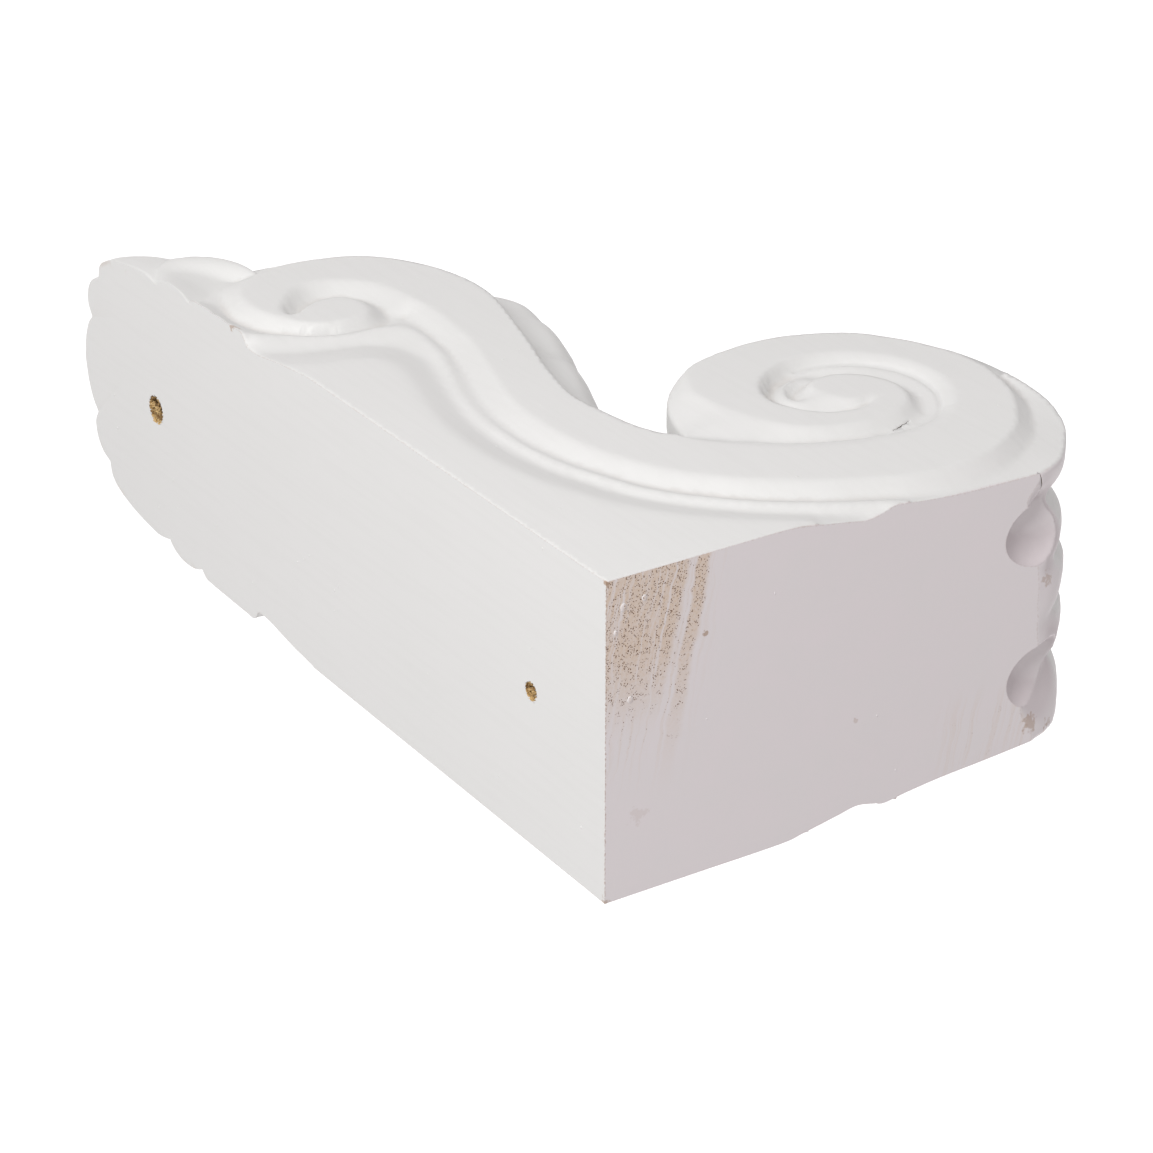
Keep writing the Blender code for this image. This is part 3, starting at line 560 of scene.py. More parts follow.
# sections from the wall outwards, as shares of the way from the heart, and of the thickness and the hang
DROP_SECTION = [(1, 0), (1.005, 0.3), (1, 0.55), (0.98, 0.8), (0.93, 0.95), (0.84, 1), (0.55, 1)]
COLLAR_SECTION = [(0, 0), (0.17, 0.6), (0.28, 0.9), (0.4, 1), (0.6, 0.92), (0.78, 0.65), (0.9, 0.32),
                  (0.97, -0.05), (1, -0.4)]


def both_sides(lobes):
    """Spots (from the middle, down, share along the lobe, lobe) down one side and up the other."""
    side = []
    for number, lobe in enumerate(lobes):
        span = 0.5 if number == len(lobes) - 1 else 1
        lobe = evenly(lobe)
        side += [(x, down, span * k / (len(lobe) - 1), number) for k, (x, down) in enumerate(lobe[:-1])]
    side.append((0, lobes[-1][-1, 1], 0.5, len(lobes) - 1))
    return side + [(-x, down, share, number) for x, down, share, number in side[-2::-1]]


def fan(name, rings, heart):
    """A solid from rings of spots that close up round a heart, with a flat foot on the wall."""
    bm = bmesh.new()
    rings = [[bm.verts.new(at(*spot)) for spot in ring] for ring in rings]
    for outer, within in zip(rings, rings[1:]):
        for k in range(len(outer)):
            n = (k + 1) % len(outer)
            bm.faces.new((outer[k], outer[n], within[n], within[k]))
    bm.faces.new(rings[0])
    middle = bm.verts.new(at(*heart))
    for k, vert in enumerate(rings[-1]):
        bm.faces.new((vert, rings[-1][(k + 1) % len(rings[-1])], middle))
    bmesh.ops.recalc_face_normals(bm, faces=bm.faces)
    return mesh_object(name, bm)


def drop_tip():
    """The lower tier: a thin fan of convex lobes that ends in the tip."""
    lobes = [smooth([(44.5, 262), (46.9, 273), (46.4, 282), (44.8, 293), (42, 303), (38.5, 308.5),
                     (33.5, 310)]),
             smooth([(33.5, 310), (31.5, 315), (27.5, 318.5), (22, 319.5), (17.5, 317)]),
             smooth([(17.5, 317), (14, 320.3), (8, 323), (0, DROP_TIP)])]
    border = [(x, down, 1 - DROP_CUT * (1 - math.sin(math.pi * share) ** 0.6))
              for x, down, share, lobe in both_sides(lobes)]
    border += [(-44.5, 262, 1), (-30, 228, 1), (30, 228, 1)]
    section = evenly(smooth(np.array(DROP_SECTION) * (60, 20), 0.5), 1.6) / (60, 20)
    rings = []
    for reach, height in section:
        ring = []
        for x, down, crown in border:
            here = DROP_HEART + (down - DROP_HEART) * reach
            crown = 1 - (1 - crown) * min(1, reach * 1.6)
            ring.append((here, float(np.interp(here, DROP_DOWN, DROP_THICK)) * height * crown, x * reach))
        rings.append(ring)
    return fan("drop_tip", rings, (DROP_HEART, DROP_THICK[0], 0))


def collar():
    """The upper tier: lobes that flare over the tip."""
    lobes = [smooth([(46.3, 241), (49, 248), (49.6, 256), (48.3, 262), (46.2, 265.5)]),
             smooth([(46.2, 265.5), (41, 268), (35.5, 267), (31, 262.5)]),
             smooth([(31, 262.5), (26, 268.5), (20, 269.5), (14, 266)]),
             smooth([(14, 266), (8, 273), (0, 275)])]
    border = both_sides(lobes) + [(-38, 231, 0, -1), (0, 228, 0, -1), (38, 231, 0, -1)]
    sections = []
    for x, down, share, lobe in border:
        side = float(np.sign(x))
        flare = share ** 1.2 if lobe == 0 else min(1, max(0, (down - 240) / 20))
        flare_out = COLLAR_FLARE * (share if lobe == 0 else 1 - 2 * share if lobe == 1 and share < 0.5 else 0)
        crease = max(0.06, 0.8 * (1 - share ** 3)) if lobe == 0 else 0.06
        hollow = COLLAR_HOLLOW * min(1, crease * 1.2) if lobe == 0 else 0
        thick = COLLAR_MIDDLE + (COLLAR_SIDE - COLLAR_MIDDLE) * (abs(x) / 47) ** 2
        if lobe > 0:
            thick -= 4 * (1 - math.sin(math.pi * share) ** 0.6)
        section = [(0, x, down), (0.5 * crease, x - 0.7 * hollow * side, down),
                   (crease, x - hollow * side, down)]
        for part in (0.12, 0.3, 0.5, 0.7, 0.85, 0.95, 1):
            away = hollow * (1 - min(1, part / 0.85)) + max(0, part - 0.8) * 8 * min(1, abs(x) / 14)
            away -= flare_out * math.sin(math.pi * min(part, 0.9)) ** 0.4
            section.append((crease + (1 - crease) * part, x - away * side, down))
        section = [(down + COLLAR_HANG * flare * float(np.interp(height, *zip(*COLLAR_SECTION))),
                    thick * height, min(HALF - 0.1, max(0.1 - HALF, x))) for height, x, down in section]
        down, out, x = section[-1]
        for reach in (0.75, 0.4):
            section.append((DROP_HEART + (down - DROP_HEART) * reach, out + (1 - reach) * 3, x * reach))
        sections.append(rounded(evenly(np.array(section), count=44)))
    return fan("collar", list(zip(*sections)), (DROP_HEART, COLLAR_MIDDLE + 3, 0))


# ------------------------------------------------------------------ scoops, screw holes and splits
# Two bowls are gouged in the top front edge. Two blind holes in the back show the raw wood. The block
# has dried and split a little beside the large volute and at one top corner.
SCOOP_RADII = (11.6, 14.5, 6.6)
SCOOP_TILT = 0.3
SCOOP_SOFT, SCOOP_PASSES = 18, 5     # reach of the rubbed rim round a scoop, and how often
FACET, RIPPLE = 0.22, 0.08           # height of the gouge facets and of the brushed primer
PRIMER, RAW = 0, 1                   # material slots of the carving


def scoop(x, reach):
    bm = bmesh.new()
    bmesh.ops.create_icosphere(bm, subdivisions=5, radius=1,
                               matrix=Matrix.Translation(at(0, reach + SCOOP_RADII[1], x))
                               @ Matrix.Rotation(SCOOP_TILT, 4, "Y")
                               @ Matrix.Diagonal((*(r * MM for r in SCOOP_RADII), 1)))
    return mesh_object("scoop", bm)


def screw_hole(down, diameter, depth):
    bm = bmesh.new()
    bmesh.ops.create_cone(bm, cap_ends=True, segments=48, radius1=diameter / 2 * MM,
                          radius2=diameter / 2 * MM, depth=2 * depth * MM,
                          matrix=Matrix.Translation(at(down, 0, 0)) @ Matrix.Rotation(math.pi / 2, 4, "X"))
    for face in bm.faces:
        face.material_index = RAW
    return mesh_object("screw_hole", bm)


def split(spots, inwards, wide, deep, seed):
    """A jagged wedge along the spots, widest in the middle."""
    draw = random.Random(seed)
    bm = bmesh.new()
    rings = []
    side = (spots[-1] - spots[0]).cross(inwards).normalized()
    for k, spot in enumerate(spots):
        gape = wide * MM * (0.15 + math.sin(math.pi * k / (len(spots) - 1))) * draw.uniform(0.5, 1.1)
        spot = spot + side * draw.uniform(-0.16, 0.16) * MM
        rings.append([bm.verts.new(spot - inwards * 2 * MM + side * gape),
                      bm.verts.new(spot - inwards * 2 * MM - side * gape),
                      bm.verts.new(spot + inwards * deep * MM * draw.uniform(0.7, 1))])
    for ring, following in zip(rings, rings[1:]):
        for k in range(3):
            bm.faces.new((ring[k], ring[(k + 1) % 3], following[(k + 1) % 3], following[k]))
    bm.faces.new(rings[0])
    bm.faces.new(rings[-1])
    bmesh.ops.recalc_face_normals(bm, faces=bm.faces)
    for face in bm.faces:
        face.material_index = RAW
    return mesh_object("split", bm)


def between(start, end, count):
    return [start.lerp(end, k / (count - 1)) for k in range(count)]


def combine(target, tools):
    """Joins or cuts each tool into the target, and throws the tools away."""
    for operation, tool in tools:
        for slot in target.data.materials:
            tool.data.materials.append(slot)
        step = target.modifiers.new(tool.name, "BOOLEAN")
        step.operation, step.solver, step.object = operation, "EXACT", tool
    bpy.context.view_layer.update()
    made = bpy.data.meshes.new_from_object(target.evaluated_get(bpy.context.evaluated_depsgraph_get()))
    target.modifiers.clear()
    target.data = made
    for operation, tool in tools:
        bpy.data.objects.remove(tool)


def plain(name):
    made = bpy.data.materials.new(name)
    made.use_nodes = True
    return made


primer, raw_wood = plain("white_primer"), plain("raw_wood")
corbel.data.materials.append(primer)
corbel.data.materials.append(raw_wood)
combine(corbel, [("UNION", drop_tip()), ("UNION", collar())]
        + [("DIFFERENCE", scoop(*place)) for place in SCOOPS]
        + [("DIFFERENCE", screw_hole(*hole)) for hole in SCREW_HOLES]
        + [("DIFFERENCE", split(run, Vector(inwards).normalized(), wide, deep, seed))
           for run, inwards, wide, deep, seed in (
               (between(at(45.3, 136.4, 47.6), at(42.4, 128, 47.6), 10), (-1, 0, 0), 0.2, 3.5, 4),
               (between(at(41.6, 125.4, 47.8), at(40.7, 122.6, 47.8), 4), (-1, 0, 0), 0.16, 2.5, 7),
               (between(at(0.2, 148.4, 45), at(0.2, 152.6, 37.4), 8), (-0.2, 0.5, -0.85), 0.2, 7, 9))])

# sanding and paint round every edge a little
softened = bmesh.new()
softened.from_mesh(corbel.data)
bmesh.ops.remove_doubles(softened, verts=softened.verts, dist=0.02 * MM)


def on_flat(face):
    """Whether a face is part of the flat top or back."""
    return face.normal.y > 0.9999 or face.normal.z > 0.9999 and face.verts[0].co.z > (TOP - 0.1) * MM


softened.normal_update()
loose = [v for v in softened.verts if v.link_faces and not any(on_flat(f) for f in v.link_faces)
         and all(f.material_index == PRIMER for f in v.link_faces)]
scooped = [v for v in loose for x, reach in SCOOPS
           if (v.co - at(0, reach + SCOOP_RADII[1], x)).length < SCOOP_SOFT * MM]
for verts, factor in [(scooped, 0.5)] * SCOOP_PASSES + [(loose, 0.4)]:
    bmesh.ops.smooth_vert(softened, verts=verts, factor=factor, use_axis_x=True, use_axis_y=True,
                          use_axis_z=True)

# the gouge leaves long shallow facets, and the primer lies over them a little unevenly
softened.normal_update()
for vert in loose:
    sideways = ease((abs(vert.co.x) / MM - 41) / 3)
    spot = vert.co / MM
    facet = noise.noise(Vector((spot.x / 9, spot.y / 9, spot.z / 14)))
    ripple = noise.noise(Vector((spot.x / 2.6 + 40, spot.y / 2.6, spot.z / 7)))
    vert.co += vert.normal * MM * (1 - 0.7 * sideways) * (FACET * facet + RIPPLE * ripple)

# how hollow each point lies and which points are on the sawn arrises: the paint puts painted shade in
# the hollows and wear on the crests and arrises
hollow_of, arris_of = (softened.verts.layers.float.new(name) for name in ("hollow", "arris"))
softened.normal_update()
bend = {}
for vert in softened.verts:
    around = [e.other_vert(vert).co for e in vert.link_edges]
    if around:
        middle = sum(around, Vector()) / len(around)
        reach = sum((co - vert.co).length for co in around) / len(around)
        bend[vert] = max(-1.0, min(1.0, 4 * (middle - vert.co).dot(vert.normal) / max(reach, 1e-6)))
for _ in range(2):
    bend = {v: 0.5 * b + 0.5 * sum(bend[e.other_vert(v)] for e in v.link_edges) / len(v.link_edges)
            for v, b in bend.items()}
for vert, value in bend.items():
    vert[hollow_of] = value
    flat_faces = {on_flat(f) for f in vert.link_faces}
    largest = max((f.calc_area() for f in vert.link_faces), default=0)
    top_back = vert.co.y > -1e-7 and vert.co.z > (TOP - 1e-3) * MM
    vert[arris_of] = float(top_back or largest < 6e-6 and len(flat_faces) == 2)
for face in softened.faces:
    face.smooth = face.material_index == PRIMER and not on_flat(face)
softened.to_mesh(corbel.data)
softened.free()
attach(corbel, "root")
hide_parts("corbel")


# ------------------------------------------------------------------ white primer
# Matt white primer, brushed on along the grain: thin over the arrises, with painted shade in the hollows.
# Near the top it has sunk into the end grain, and that tint also stands in for the shade of the top; the
# scoops carry painted shade, and one corner was left nearly bare.
def add(tree, kind, inputs=(), out=0, **settings):
    """Adds a node; each input is a constant or another node's output. Gives back one output."""
    node = tree.nodes.new("ShaderNode" + kind)
    for name, value in settings.items():
        setattr(node, name, value)
    for key, value in dict(inputs).items():
        if isinstance(value, bpy.types.NodeSocket):
            tree.links.new(value, node.inputs[key])
        else:
            node.inputs[key].default_value = value
    return node.outputs[out]


def calc(tree, operation, *values, clamp=False):
    return add(tree, "Math", enumerate(values), operation=operation, use_clamp=clamp)


def ramp(tree, value, low, high):
    """0 below low, 1 above high, smooth between; low may be the greater."""
    return add(tree, "MapRange", {0: value, 1: low, 2: high}, interpolation_type="SMOOTHSTEP")


def mix(tree, share, first, second):
    return add(tree, "Mix", {0: share, 6: first, 7: second}, out=2, data_type="RGBA")


def grain(tree, coords, scale, detail=4.0, stretch=(1, 1, 1), shift=(0, 0, 0), rough=0.55):
    """Noise round 0.5 at so many waves to the metre, with its own stretch."""
    placed = add(tree, "Mapping", {0: coords, 1: shift, 3: stretch})
    return add(tree, "TexNoise", {"Vector": placed, "Scale": scale, "Detail": detail, "Roughness": rough})


def near(tree, coords, spot, reach, ragged):
    """1 at a spot of the carving, fading to 0 at its reach, with a ragged rim."""
    away = add(tree, "VectorMath", {0: coords, 1: spot}, out=1, operation="DISTANCE")
    away = calc(tree, "MULTIPLY_ADD", ragged, 0.9 * reach, away)
    return ramp(tree, away, 1.45 * reach, 0.85 * reach)


tree = primer.node_tree
shader = tree.nodes["Principled BSDF"]
coords = add(tree, "TexCoord", out=3)
x, y, z = (add(tree, "SeparateXYZ", {0: coords}, out=k) for k in range(3))
facing = add(tree, "NewGeometry", out=1)
facing_z = add(tree, "SeparateXYZ", {0: facing}, out=2)
hollow, arris = (add(tree, "Attribute", out=2, attribute_name=name) for name in ("hollow", "arris"))
out_mm, x_mm = calc(tree, "MULTIPLY", y, -1000.0), calc(tree, "MULTIPLY", x, 1000.0)
on_top_face = calc(tree, "MULTIPLY", ramp(tree, z, (TOP - 0.6) * MM, (TOP - 0.2) * MM),
                   ramp(tree, facing_z, 0.9, 0.99))
cloud = grain(tree, coords, 14, 3)
streak = grain(tree, coords, 420, 5, stretch=(1, 1, 0.05))
fleck = grain(tree, coords, 1100, 2)
blotch = grain(tree, coords, 90, 3, shift=(0.3, 0.1, 0.7))

colour = mix(tree, cloud, (0.79, 0.796, 0.778, 1), (0.83, 0.828, 0.818, 1))
colour = mix(tree, calc(tree, "MULTIPLY", ramp(tree, streak, 0.46, 0.62), 0.05), colour,
             (0.66, 0.655, 0.635, 1))
# painted shade: the hollows of the carving take a darker, warmer colour
colour = mix(tree, calc(tree, "MULTIPLY", ramp(tree, hollow, 0.15, 0.75), 0.3), colour,
             (0.62, 0.56, 0.51, 1))
# partly real, partly painted shade: up-facing faces near the top get a pink tint, both for primer sunk into
# the end grain and for the mauve shade that lies on the top
end_grain_and_shade = calc(tree, "MULTIPLY", ramp(tree, z, (TOP - 26) * MM, (TOP - 6) * MM),
                 ramp(tree, facing_z, 0.4, 0.9))
sunk_primer_and_shade = calc(tree, "MULTIPLY", end_grain_and_shade, calc(tree, "MULTIPLY_ADD", blotch, 0.5, 0.6))
colour = mix(tree, sunk_primer_and_shade, colour, (0.87, 0.812, 0.828, 1))
# painted shade: the insides of the two scoops are darkened to a mauve grey
for x_at, reach in SCOOPS:
    scoop_shade = add(tree, "VectorMath", {0: coords, 1: at(3, reach + 13, x_at)}, out=1, operation="DISTANCE")
    scoop_shade = calc(tree, "MULTIPLY", ramp(tree, scoop_shade, 0.019, 0.013), ramp(tree, facing_z, 0.995, 0.9))
    colour = mix(tree, scoop_shade, colour, (0.735, 0.672, 0.688, 1))

# bare end grain: rings run along the top from the +X side and lean towards the wall
across_rings = calc(tree, "MULTIPLY_ADD", calc(tree, "SUBTRACT", HALF, x_mm), 0.19, out_mm)
across_rings = calc(tree, "MULTIPLY_ADD", calc(tree, "SUBTRACT", blotch, 0.5), 5.0, across_rings)
ring_place = add(tree, "CombineXYZ", {0: calc(tree, "MULTIPLY", x_mm, 0.02),
                                      1: calc(tree, "MULTIPLY", across_rings, 0.55)})
rings = add(tree, "TexNoise", {"Vector": ring_place, "Scale": 1.0, "Detail": 3.0, "Roughness": 0.6})
patch = calc(tree, "MULTIPLY", ramp(tree, across_rings, 28.5, 25.0), ramp(tree, x_mm, -4.0, 30.0))
patch = calc(tree, "MULTIPLY", patch, ramp(tree, rings, 0.3, 0.52))
stripe = calc(tree, "MULTIPLY", ramp(tree, across_rings, 29.0, 30.5), ramp(tree, across_rings, 35.5, 33.0))
stripe = calc(tree, "MULTIPLY", stripe, ramp(tree, x_mm, -25.0, 44.0))
tail = calc(tree, "MULTIPLY", ramp(tree, across_rings, 44.0, 27.0), ramp(tree, x_mm, -24.0, 15.0))
tail = calc(tree, "MULTIPLY", calc(tree, "MULTIPLY", tail, ramp(tree, rings, 0.5, 0.62)), 0.4)
front_stain = calc(tree, "MULTIPLY", ramp(tree, out_mm, 112.0, 124.0), ramp(tree, x_mm, -16.0, -30.0))
front_stain = calc(tree, "MULTIPLY", front_stain, ramp(tree, rings, 0.46, 0.6))
front_stain = calc(tree, "MULTIPLY", front_stain, 0.22)
bare = calc(tree, "MAXIMUM", calc(tree, "MAXIMUM", patch, stripe), calc(tree, "MAXIMUM", tail, front_stain))
bare = calc(tree, "MULTIPLY", bare, on_top_face)
colour = mix(tree, calc(tree, "MULTIPLY", bare, calc(tree, "MULTIPLY_ADD", fleck, 0.9, 0.25), clamp=True),
             colour, (0.745, 0.575, 0.43, 1))
flattened = add(tree, "VectorMath", {0: coords, 1: (1, 1, 0)}, operation="MULTIPLY")
pore_size = add(tree, "TexVoronoi", {"Vector": flattened, "Scale": 1800.0}, out=0)
pore_pick = add(tree, "TexNoise", {"Vector": flattened, "Scale": 430.0, "Detail": 1.0})
pores = calc(tree, "MULTIPLY", ramp(tree, pore_size, 0.4, 0.22),
             ramp(tree, calc(tree, "MULTIPLY_ADD", bare, 0.22, pore_pick), 0.58, 0.68))
pores = calc(tree, "MULTIPLY", pores, ramp(tree, bare, 0.12, 0.4))
colour = mix(tree, pores, colour, (0.17, 0.075, 0.03, 1))

# arrises rubbed through to the wood, in dots and dashes
rubbed = calc(tree, "MULTIPLY_ADD", calc(tree, "SUBTRACT", fleck, 0.5), 2.2, arris)
back_line = calc(tree, "MULTIPLY", ramp(tree, z, (TOP - 2) * MM, TOP * MM), ramp(tree, y, -0.002, 0.0))
rubbed = calc(tree, "MULTIPLY", ramp(tree, rubbed, 0.7, 1.05),
              calc(tree, "MULTIPLY_ADD", back_line, 0.48, 0.17))
colour = mix(tree, rubbed, colour, (0.45, 0.31, 0.235, 1))
crest = calc(tree, "MULTIPLY", ramp(tree, hollow, -0.35, -0.8), ramp(tree, blotch, 0.53, 0.64))
colour = mix(tree, calc(tree, "MULTIPLY", crest, 0.4), colour, (0.55, 0.42, 0.33, 1))
ragged = calc(tree, "MULTIPLY", calc(tree, "SUBTRACT", grain(tree, coords, 520, 3), 0.5), 5.0)
for spot, reach, share in (((-37.3, 151, 0), 2.2, 0.5), ((-42.9, 158.8, 6), 2.6, 0.5),
                           ((9.3, 154.8, 0), 1.8, 0.4), ((-17.3, 85.7, 0), 0.8, 0.3),
                           ((-24.7, 10.8, 0), 2.0, 0.14), ((25.7, 32.8, 0), 0.7, 0.7),
                           ((50, 0, 0), 1.1, 0.8), ((-50, 0, 0), 1.6, 0.5), ((49.6, 0.4, 213), 1.3, 0.6)):
    worn = near(tree, coords, at(spot[2], spot[1], spot[0]), reach * MM, ragged)
    colour = mix(tree, calc(tree, "MULTIPLY", worn, share), colour, (0.42, 0.27, 0.17, 1))
tree.links.new(colour, shader.inputs["Base Color"])
tree.links.new(calc(tree, "MULTIPLY_ADD", cloud, 0.12, 0.5), shader.inputs["Roughness"])
relief = calc(tree, "MULTIPLY_ADD", streak, 0.6, calc(tree, "MULTIPLY", fleck, 0.35))
relief = calc(tree, "SUBTRACT", relief, pores)
tree.links.new(add(tree, "Bump", {"Strength": 0.35, "Distance": 0.00012, "Height": relief}),
               shader.inputs["Normal"])

# torn fibres and raw wood inside the holes and splits, with painted shade darkening the wood deeper in
tree = raw_wood.node_tree
shader = tree.nodes["Principled BSDF"]
coords = add(tree, "TexCoord", out=3)
fibre = grain(tree, coords, 700, 4, stretch=(1, 1, 0.12))
# painted shade: the raw wood fades to nearly black from 1 mm to 9 mm deep into the holes, and the splits, far
# from the back, are that dark all through
depth = ramp(tree, add(tree, "SeparateXYZ", {0: coords}, out=1), -0.009, -0.001)
colour = mix(tree, ramp(tree, fibre, 0.35, 0.62), (0.22, 0.11, 0.03, 1), (0.8, 0.57, 0.26, 1))
colour = mix(tree, depth, (0.1, 0.042, 0.012, 1), colour)
tree.links.new(colour, shader.inputs["Base Color"])
shader.inputs["Roughness"].default_value = 0.8
tree.links.new(add(tree, "Bump", {"Strength": 0.5, "Distance": 0.0002, "Height": fibre}),
               shader.inputs["Normal"])


# ------------------------------------------------------------------ torn fibres and primer drops
# The drill tore the face round both holes, and the primer stuck to the torn fibres. The brush left
# small drops and nibs of primer that dried on the surface.
def geometry_tree(name, inputs):
    """A Geometry Nodes group with a geometry in, a geometry out and named inputs."""
    group = bpy.data.node_groups.new(name, "GeometryNodeTree")
    group.interface.new_socket("Geometry", in_out="INPUT", socket_type="NodeSocketGeometry")
    for label, kind in inputs:
        group.interface.new_socket(label, in_out="INPUT", socket_type="NodeSocket" + kind)
    group.interface.new_socket("Geometry", in_out="OUTPUT", socket_type="NodeSocketGeometry")
    return group, group.nodes.new("NodeGroupInput"), group.nodes.new("NodeGroupOutput")


def grow(group, name, mesh, values):
    """The mesh that the group makes, as a new object."""
    host = bpy.data.objects.new("host", mesh)
    bpy.context.scene.collection.objects.link(host)
    step = host.modifiers.new("grow", "NODES")
    step.node_group = group
    for item in group.interface.items_tree:
        if item.in_out == "INPUT" and item.name in values:
            step[item.identifier] = values[item.name]
    host.update_tag()
    bpy.context.view_layer.update()
    made = bpy.data.meshes.new_from_object(host.evaluated_get(bpy.context.evaluated_depsgraph_get()))
    bpy.data.objects.remove(host)
    obj = bpy.data.objects.new(name, made)
    bpy.context.scene.collection.objects.link(obj)
    return obj


def link(group, *pairs):
    for (source, output), (sink, entry) in pairs:
        group.links.new(source.outputs[output], sink.inputs[entry])


fibres, given, made = geometry_tree("torn_fibres", [("Radius", "Float"), ("Count", "Int"),
                                                    ("Place", "Vector"), ("Length", "Float"),
                                                    ("Lip", "Material"), ("Seed", "Int")])
circle, spike, lie, size, put, real, stand, dress = (
    fibres.nodes.new(kind) for kind in (
        "GeometryNodeMeshCircle", "GeometryNodeMeshCone", "FunctionNodeRandomValue",
        "FunctionNodeRandomValue", "GeometryNodeInstanceOnPoints", "GeometryNodeRealizeInstances",
        "GeometryNodeTransform", "GeometryNodeSetMaterial"))
lie.data_type = size.data_type = "FLOAT_VECTOR"
lie.inputs[0].default_value, lie.inputs[1].default_value = (-1.5, -1.5, -3.1), (1.5, 1.5, 3.1)
size.inputs[0].default_value, size.inputs[1].default_value = (0.7, 0.5, 0.5), (2.2, 1.2, 1.6)
spike.inputs["Vertices"].default_value = 6
spike.inputs["Radius Bottom"].default_value = 0.00028
spike.inputs["Radius Top"].default_value = 0.00003
stand.inputs["Rotation"].default_value = (math.pi / 2, 0, 0)
link(fibres, ((given, "Count"), (circle, "Vertices")), ((given, "Radius"), (circle, "Radius")),
     ((given, "Length"), (spike, "Depth")), ((given, "Seed"), (lie, "Seed")),
     ((given, "Seed"), (size, "Seed")), ((circle, "Mesh"), (put, "Points")),
     ((spike, "Mesh"), (put, "Instance")), ((lie, 0), (put, "Rotation")), ((size, 0), (put, "Scale")),
     ((put, 0), (real, 0)), ((real, 0), (stand, "Geometry")), ((given, "Place"), (stand, "Translation")),
     ((stand, 0), (dress, 0)), ((given, "Lip"), (dress, "Material")), ((dress, 0), (made, 0)))
# each ring of fibres: share of the radius, material, fibres per mm of diameter, how deep (mm), and how
# far aside as a share of the diameter
torn = []
for down, diameter, depth in SCREW_HOLES:
    for k, (shrink, material, count, sunk_in, aside) in enumerate([
            (1.0, primer, 2, 0.0, 0), (0.9, raw_wood, 3, -0.25, 0.04), (0.72, raw_wood, 3, -0.5, 0.16),
            (0.5, raw_wood, 3, -0.8, 0.22), (0.3, raw_wood, 2, -1, 0.28)]):
        torn.append(grow(fibres, "torn_fibres", bpy.data.meshes.new("start"), {
            "Radius": shrink * diameter / 2 * MM, "Count": round(count * diameter),
            "Place": at(down, 0, 0) + Vector((-aside * diameter, sunk_in, -aside * diameter)) * MM,
            "Length": (0.7 if k == 0 else 1.5) * MM, "Lip": material, "Seed": 5 * k + int(down)}))

nibs, given, made = geometry_tree("primer_nibs", [("Density", "Float"), ("Size", "Float"),
                                                  ("Paint", "Material"), ("Seed", "Int")])
scatter, bead_of, size, put, real, dress = (nibs.nodes.new(kind) for kind in (
    "GeometryNodeDistributePointsOnFaces", "GeometryNodeMeshIcoSphere", "FunctionNodeRandomValue",
    "GeometryNodeInstanceOnPoints", "GeometryNodeRealizeInstances", "GeometryNodeSetMaterial"))
size.data_type = "FLOAT_VECTOR"
size.inputs[0].default_value, size.inputs[1].default_value = (0.6, 0.6, 0.25), (1.8, 1.4, 0.5)
bead_of.inputs["Subdivisions"].default_value = 2
link(nibs, ((given, 0), (scatter, "Mesh")), ((given, "Density"), (scatter, "Density")),
     ((given, "Seed"), (scatter, "Seed")), ((given, "Size"), (bead_of, "Radius")),
     ((scatter, "Points"), (put, "Points")), ((scatter, "Rotation"), (put, "Rotation")),
     ((bead_of, "Mesh"), (put, "Instance")), ((size, 0), (put, "Scale")), ((put, 0), (real, 0)),
     ((real, 0), (dress, 0)), ((given, "Paint"), (dress, "Material")), ((dress, 0), (made, 0)))
drops = [grow(nibs, "primer_drops", corbel.data.copy(), {"Density": 700.0, "Size": 0.3 * MM,
                                                         "Paint": primer, "Seed": 3})]
dried = bmesh.new()
for x_at, out_at, wide in ((41, 5.6, 1.3), (42.1, 12.3, 1.0), (34, 3.1, 0.8), (12.3, 7.9, 1.1)):
    bmesh.ops.create_icosphere(dried, subdivisions=3, radius=1,
                               matrix=Matrix.Translation(at(0, out_at, x_at))
                               @ Matrix.Diagonal((wide * MM, 0.8 * wide * MM, 0.3 * MM, 1)))
drops.append(mesh_object("dried_drops", dried))
drops[-1].data.materials.append(primer)


def gather(name, parts):
    """One object of several, each with its own material."""
    whole = bmesh.new()
    slots = []
    for part in parts:
        first = len(whole.faces)
        whole.from_mesh(part.data)
        own = part.data.materials[-1]
        if own not in slots:
            slots.append(own)
        whole.faces.ensure_lookup_table()
        for face in whole.faces[first:]:
            face.material_index, face.smooth = slots.index(own), True
        bpy.data.objects.remove(part)
    obj = mesh_object(name, whole)
    for slot in slots:
        obj.data.materials.append(slot)
    return obj


for extra in (gather("torn_fibres", torn), gather("primer_drops", drops)):
    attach(extra, "root")


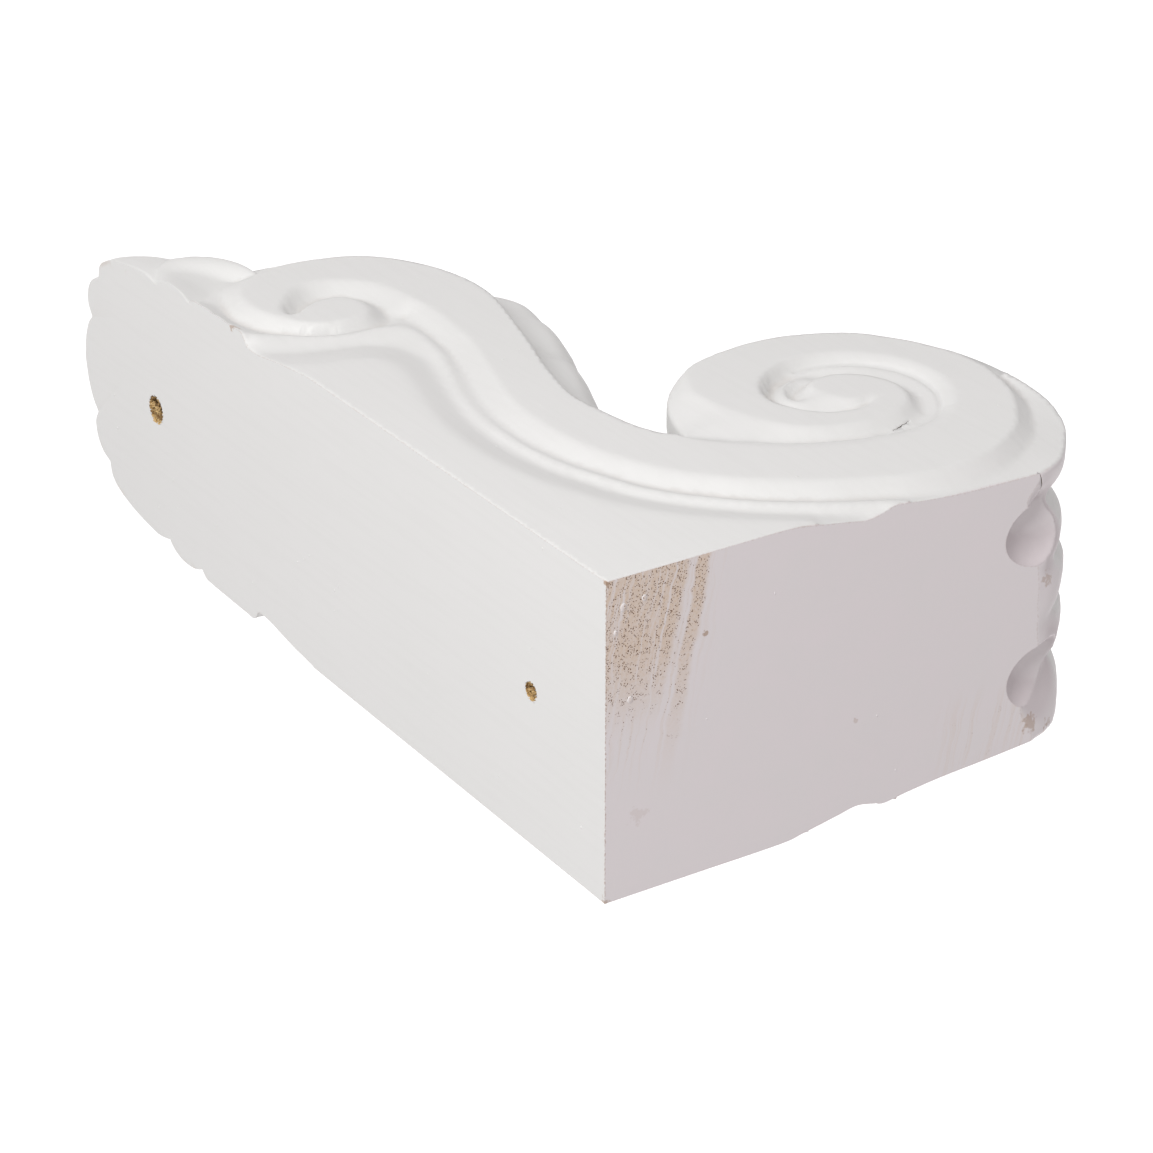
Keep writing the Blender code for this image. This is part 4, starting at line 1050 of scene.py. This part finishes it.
# ------------------------------------------------------------------ floor and light
floor_bm = bmesh.new()
bmesh.ops.create_grid(floor_bm, x_segments=1, y_segments=1, size=6.0,
                      matrix=Matrix.Translation((0, 0, cad_box[0].z - 0.25)))
floor = mesh_object("floor", floor_bm)
floor_paint = plain("floor_paint")
floor_shader = floor_paint.node_tree.nodes["Principled BSDF"]
floor_shader.inputs["Base Color"].default_value = (0.9, 0.9, 0.9, 1)
floor_shader.inputs["Emission Color"].default_value = (1, 1, 1, 1)
floor_shader.inputs["Emission Strength"].default_value = 0.6
floor_shader.inputs["Roughness"].default_value = 0.9
floor.data.materials.append(floor_paint)
floor.visible_diffuse = False

world = bpy.data.worlds.new("studio")
world.use_nodes = True
world.node_tree.nodes["Background"].inputs["Color"].default_value = (1.0, 0.965, 0.97, 1)
world.node_tree.nodes["Background"].inputs["Strength"].default_value = 0.5
bpy.context.scene.world = world


def softbox(name, place, size, power):
    light = bpy.data.lights.new(name, "AREA")
    light.shape, light.size, light.energy = "SQUARE", size, power
    obj = bpy.data.objects.new(name, light)
    obj.visible_camera = False
    obj.matrix_world = Matrix.Translation(place) @ Vector(place).to_track_quat("Z", "Y").to_matrix().to_4x4()
    bpy.context.scene.collection.objects.link(obj)


softbox("key_light", (1.0, 0.98, 0.62), 0.7, 14.6)
softbox("fill_light", (-1.2, -0.85, 0.05), 0.6, 5.0)
bpy.context.scene.view_settings.view_transform = "Standard"


# ------------------------------------------------------------------ camera
camera = bpy.data.objects.new("camera", bpy.data.cameras.new("camera"))
bpy.context.scene.collection.objects.link(camera)
camera.data.lens, camera.data.sensor_width = 109.57, 36.0
camera.data.clip_end = 20.0
look = Vector((-0.4446, -0.4844, -0.7534)).normalized()
lift = Vector((0.8957, -0.2404, -0.374))
lift = (lift - look * lift.dot(look)).normalized()
turn = Matrix((look.cross(lift), lift, -look)).transposed().to_4x4()
camera.matrix_world = Matrix.Translation((0.4657, 0.4576, 0.6972 + TOP * MM)) @ turn
bpy.context.scene.camera = camera
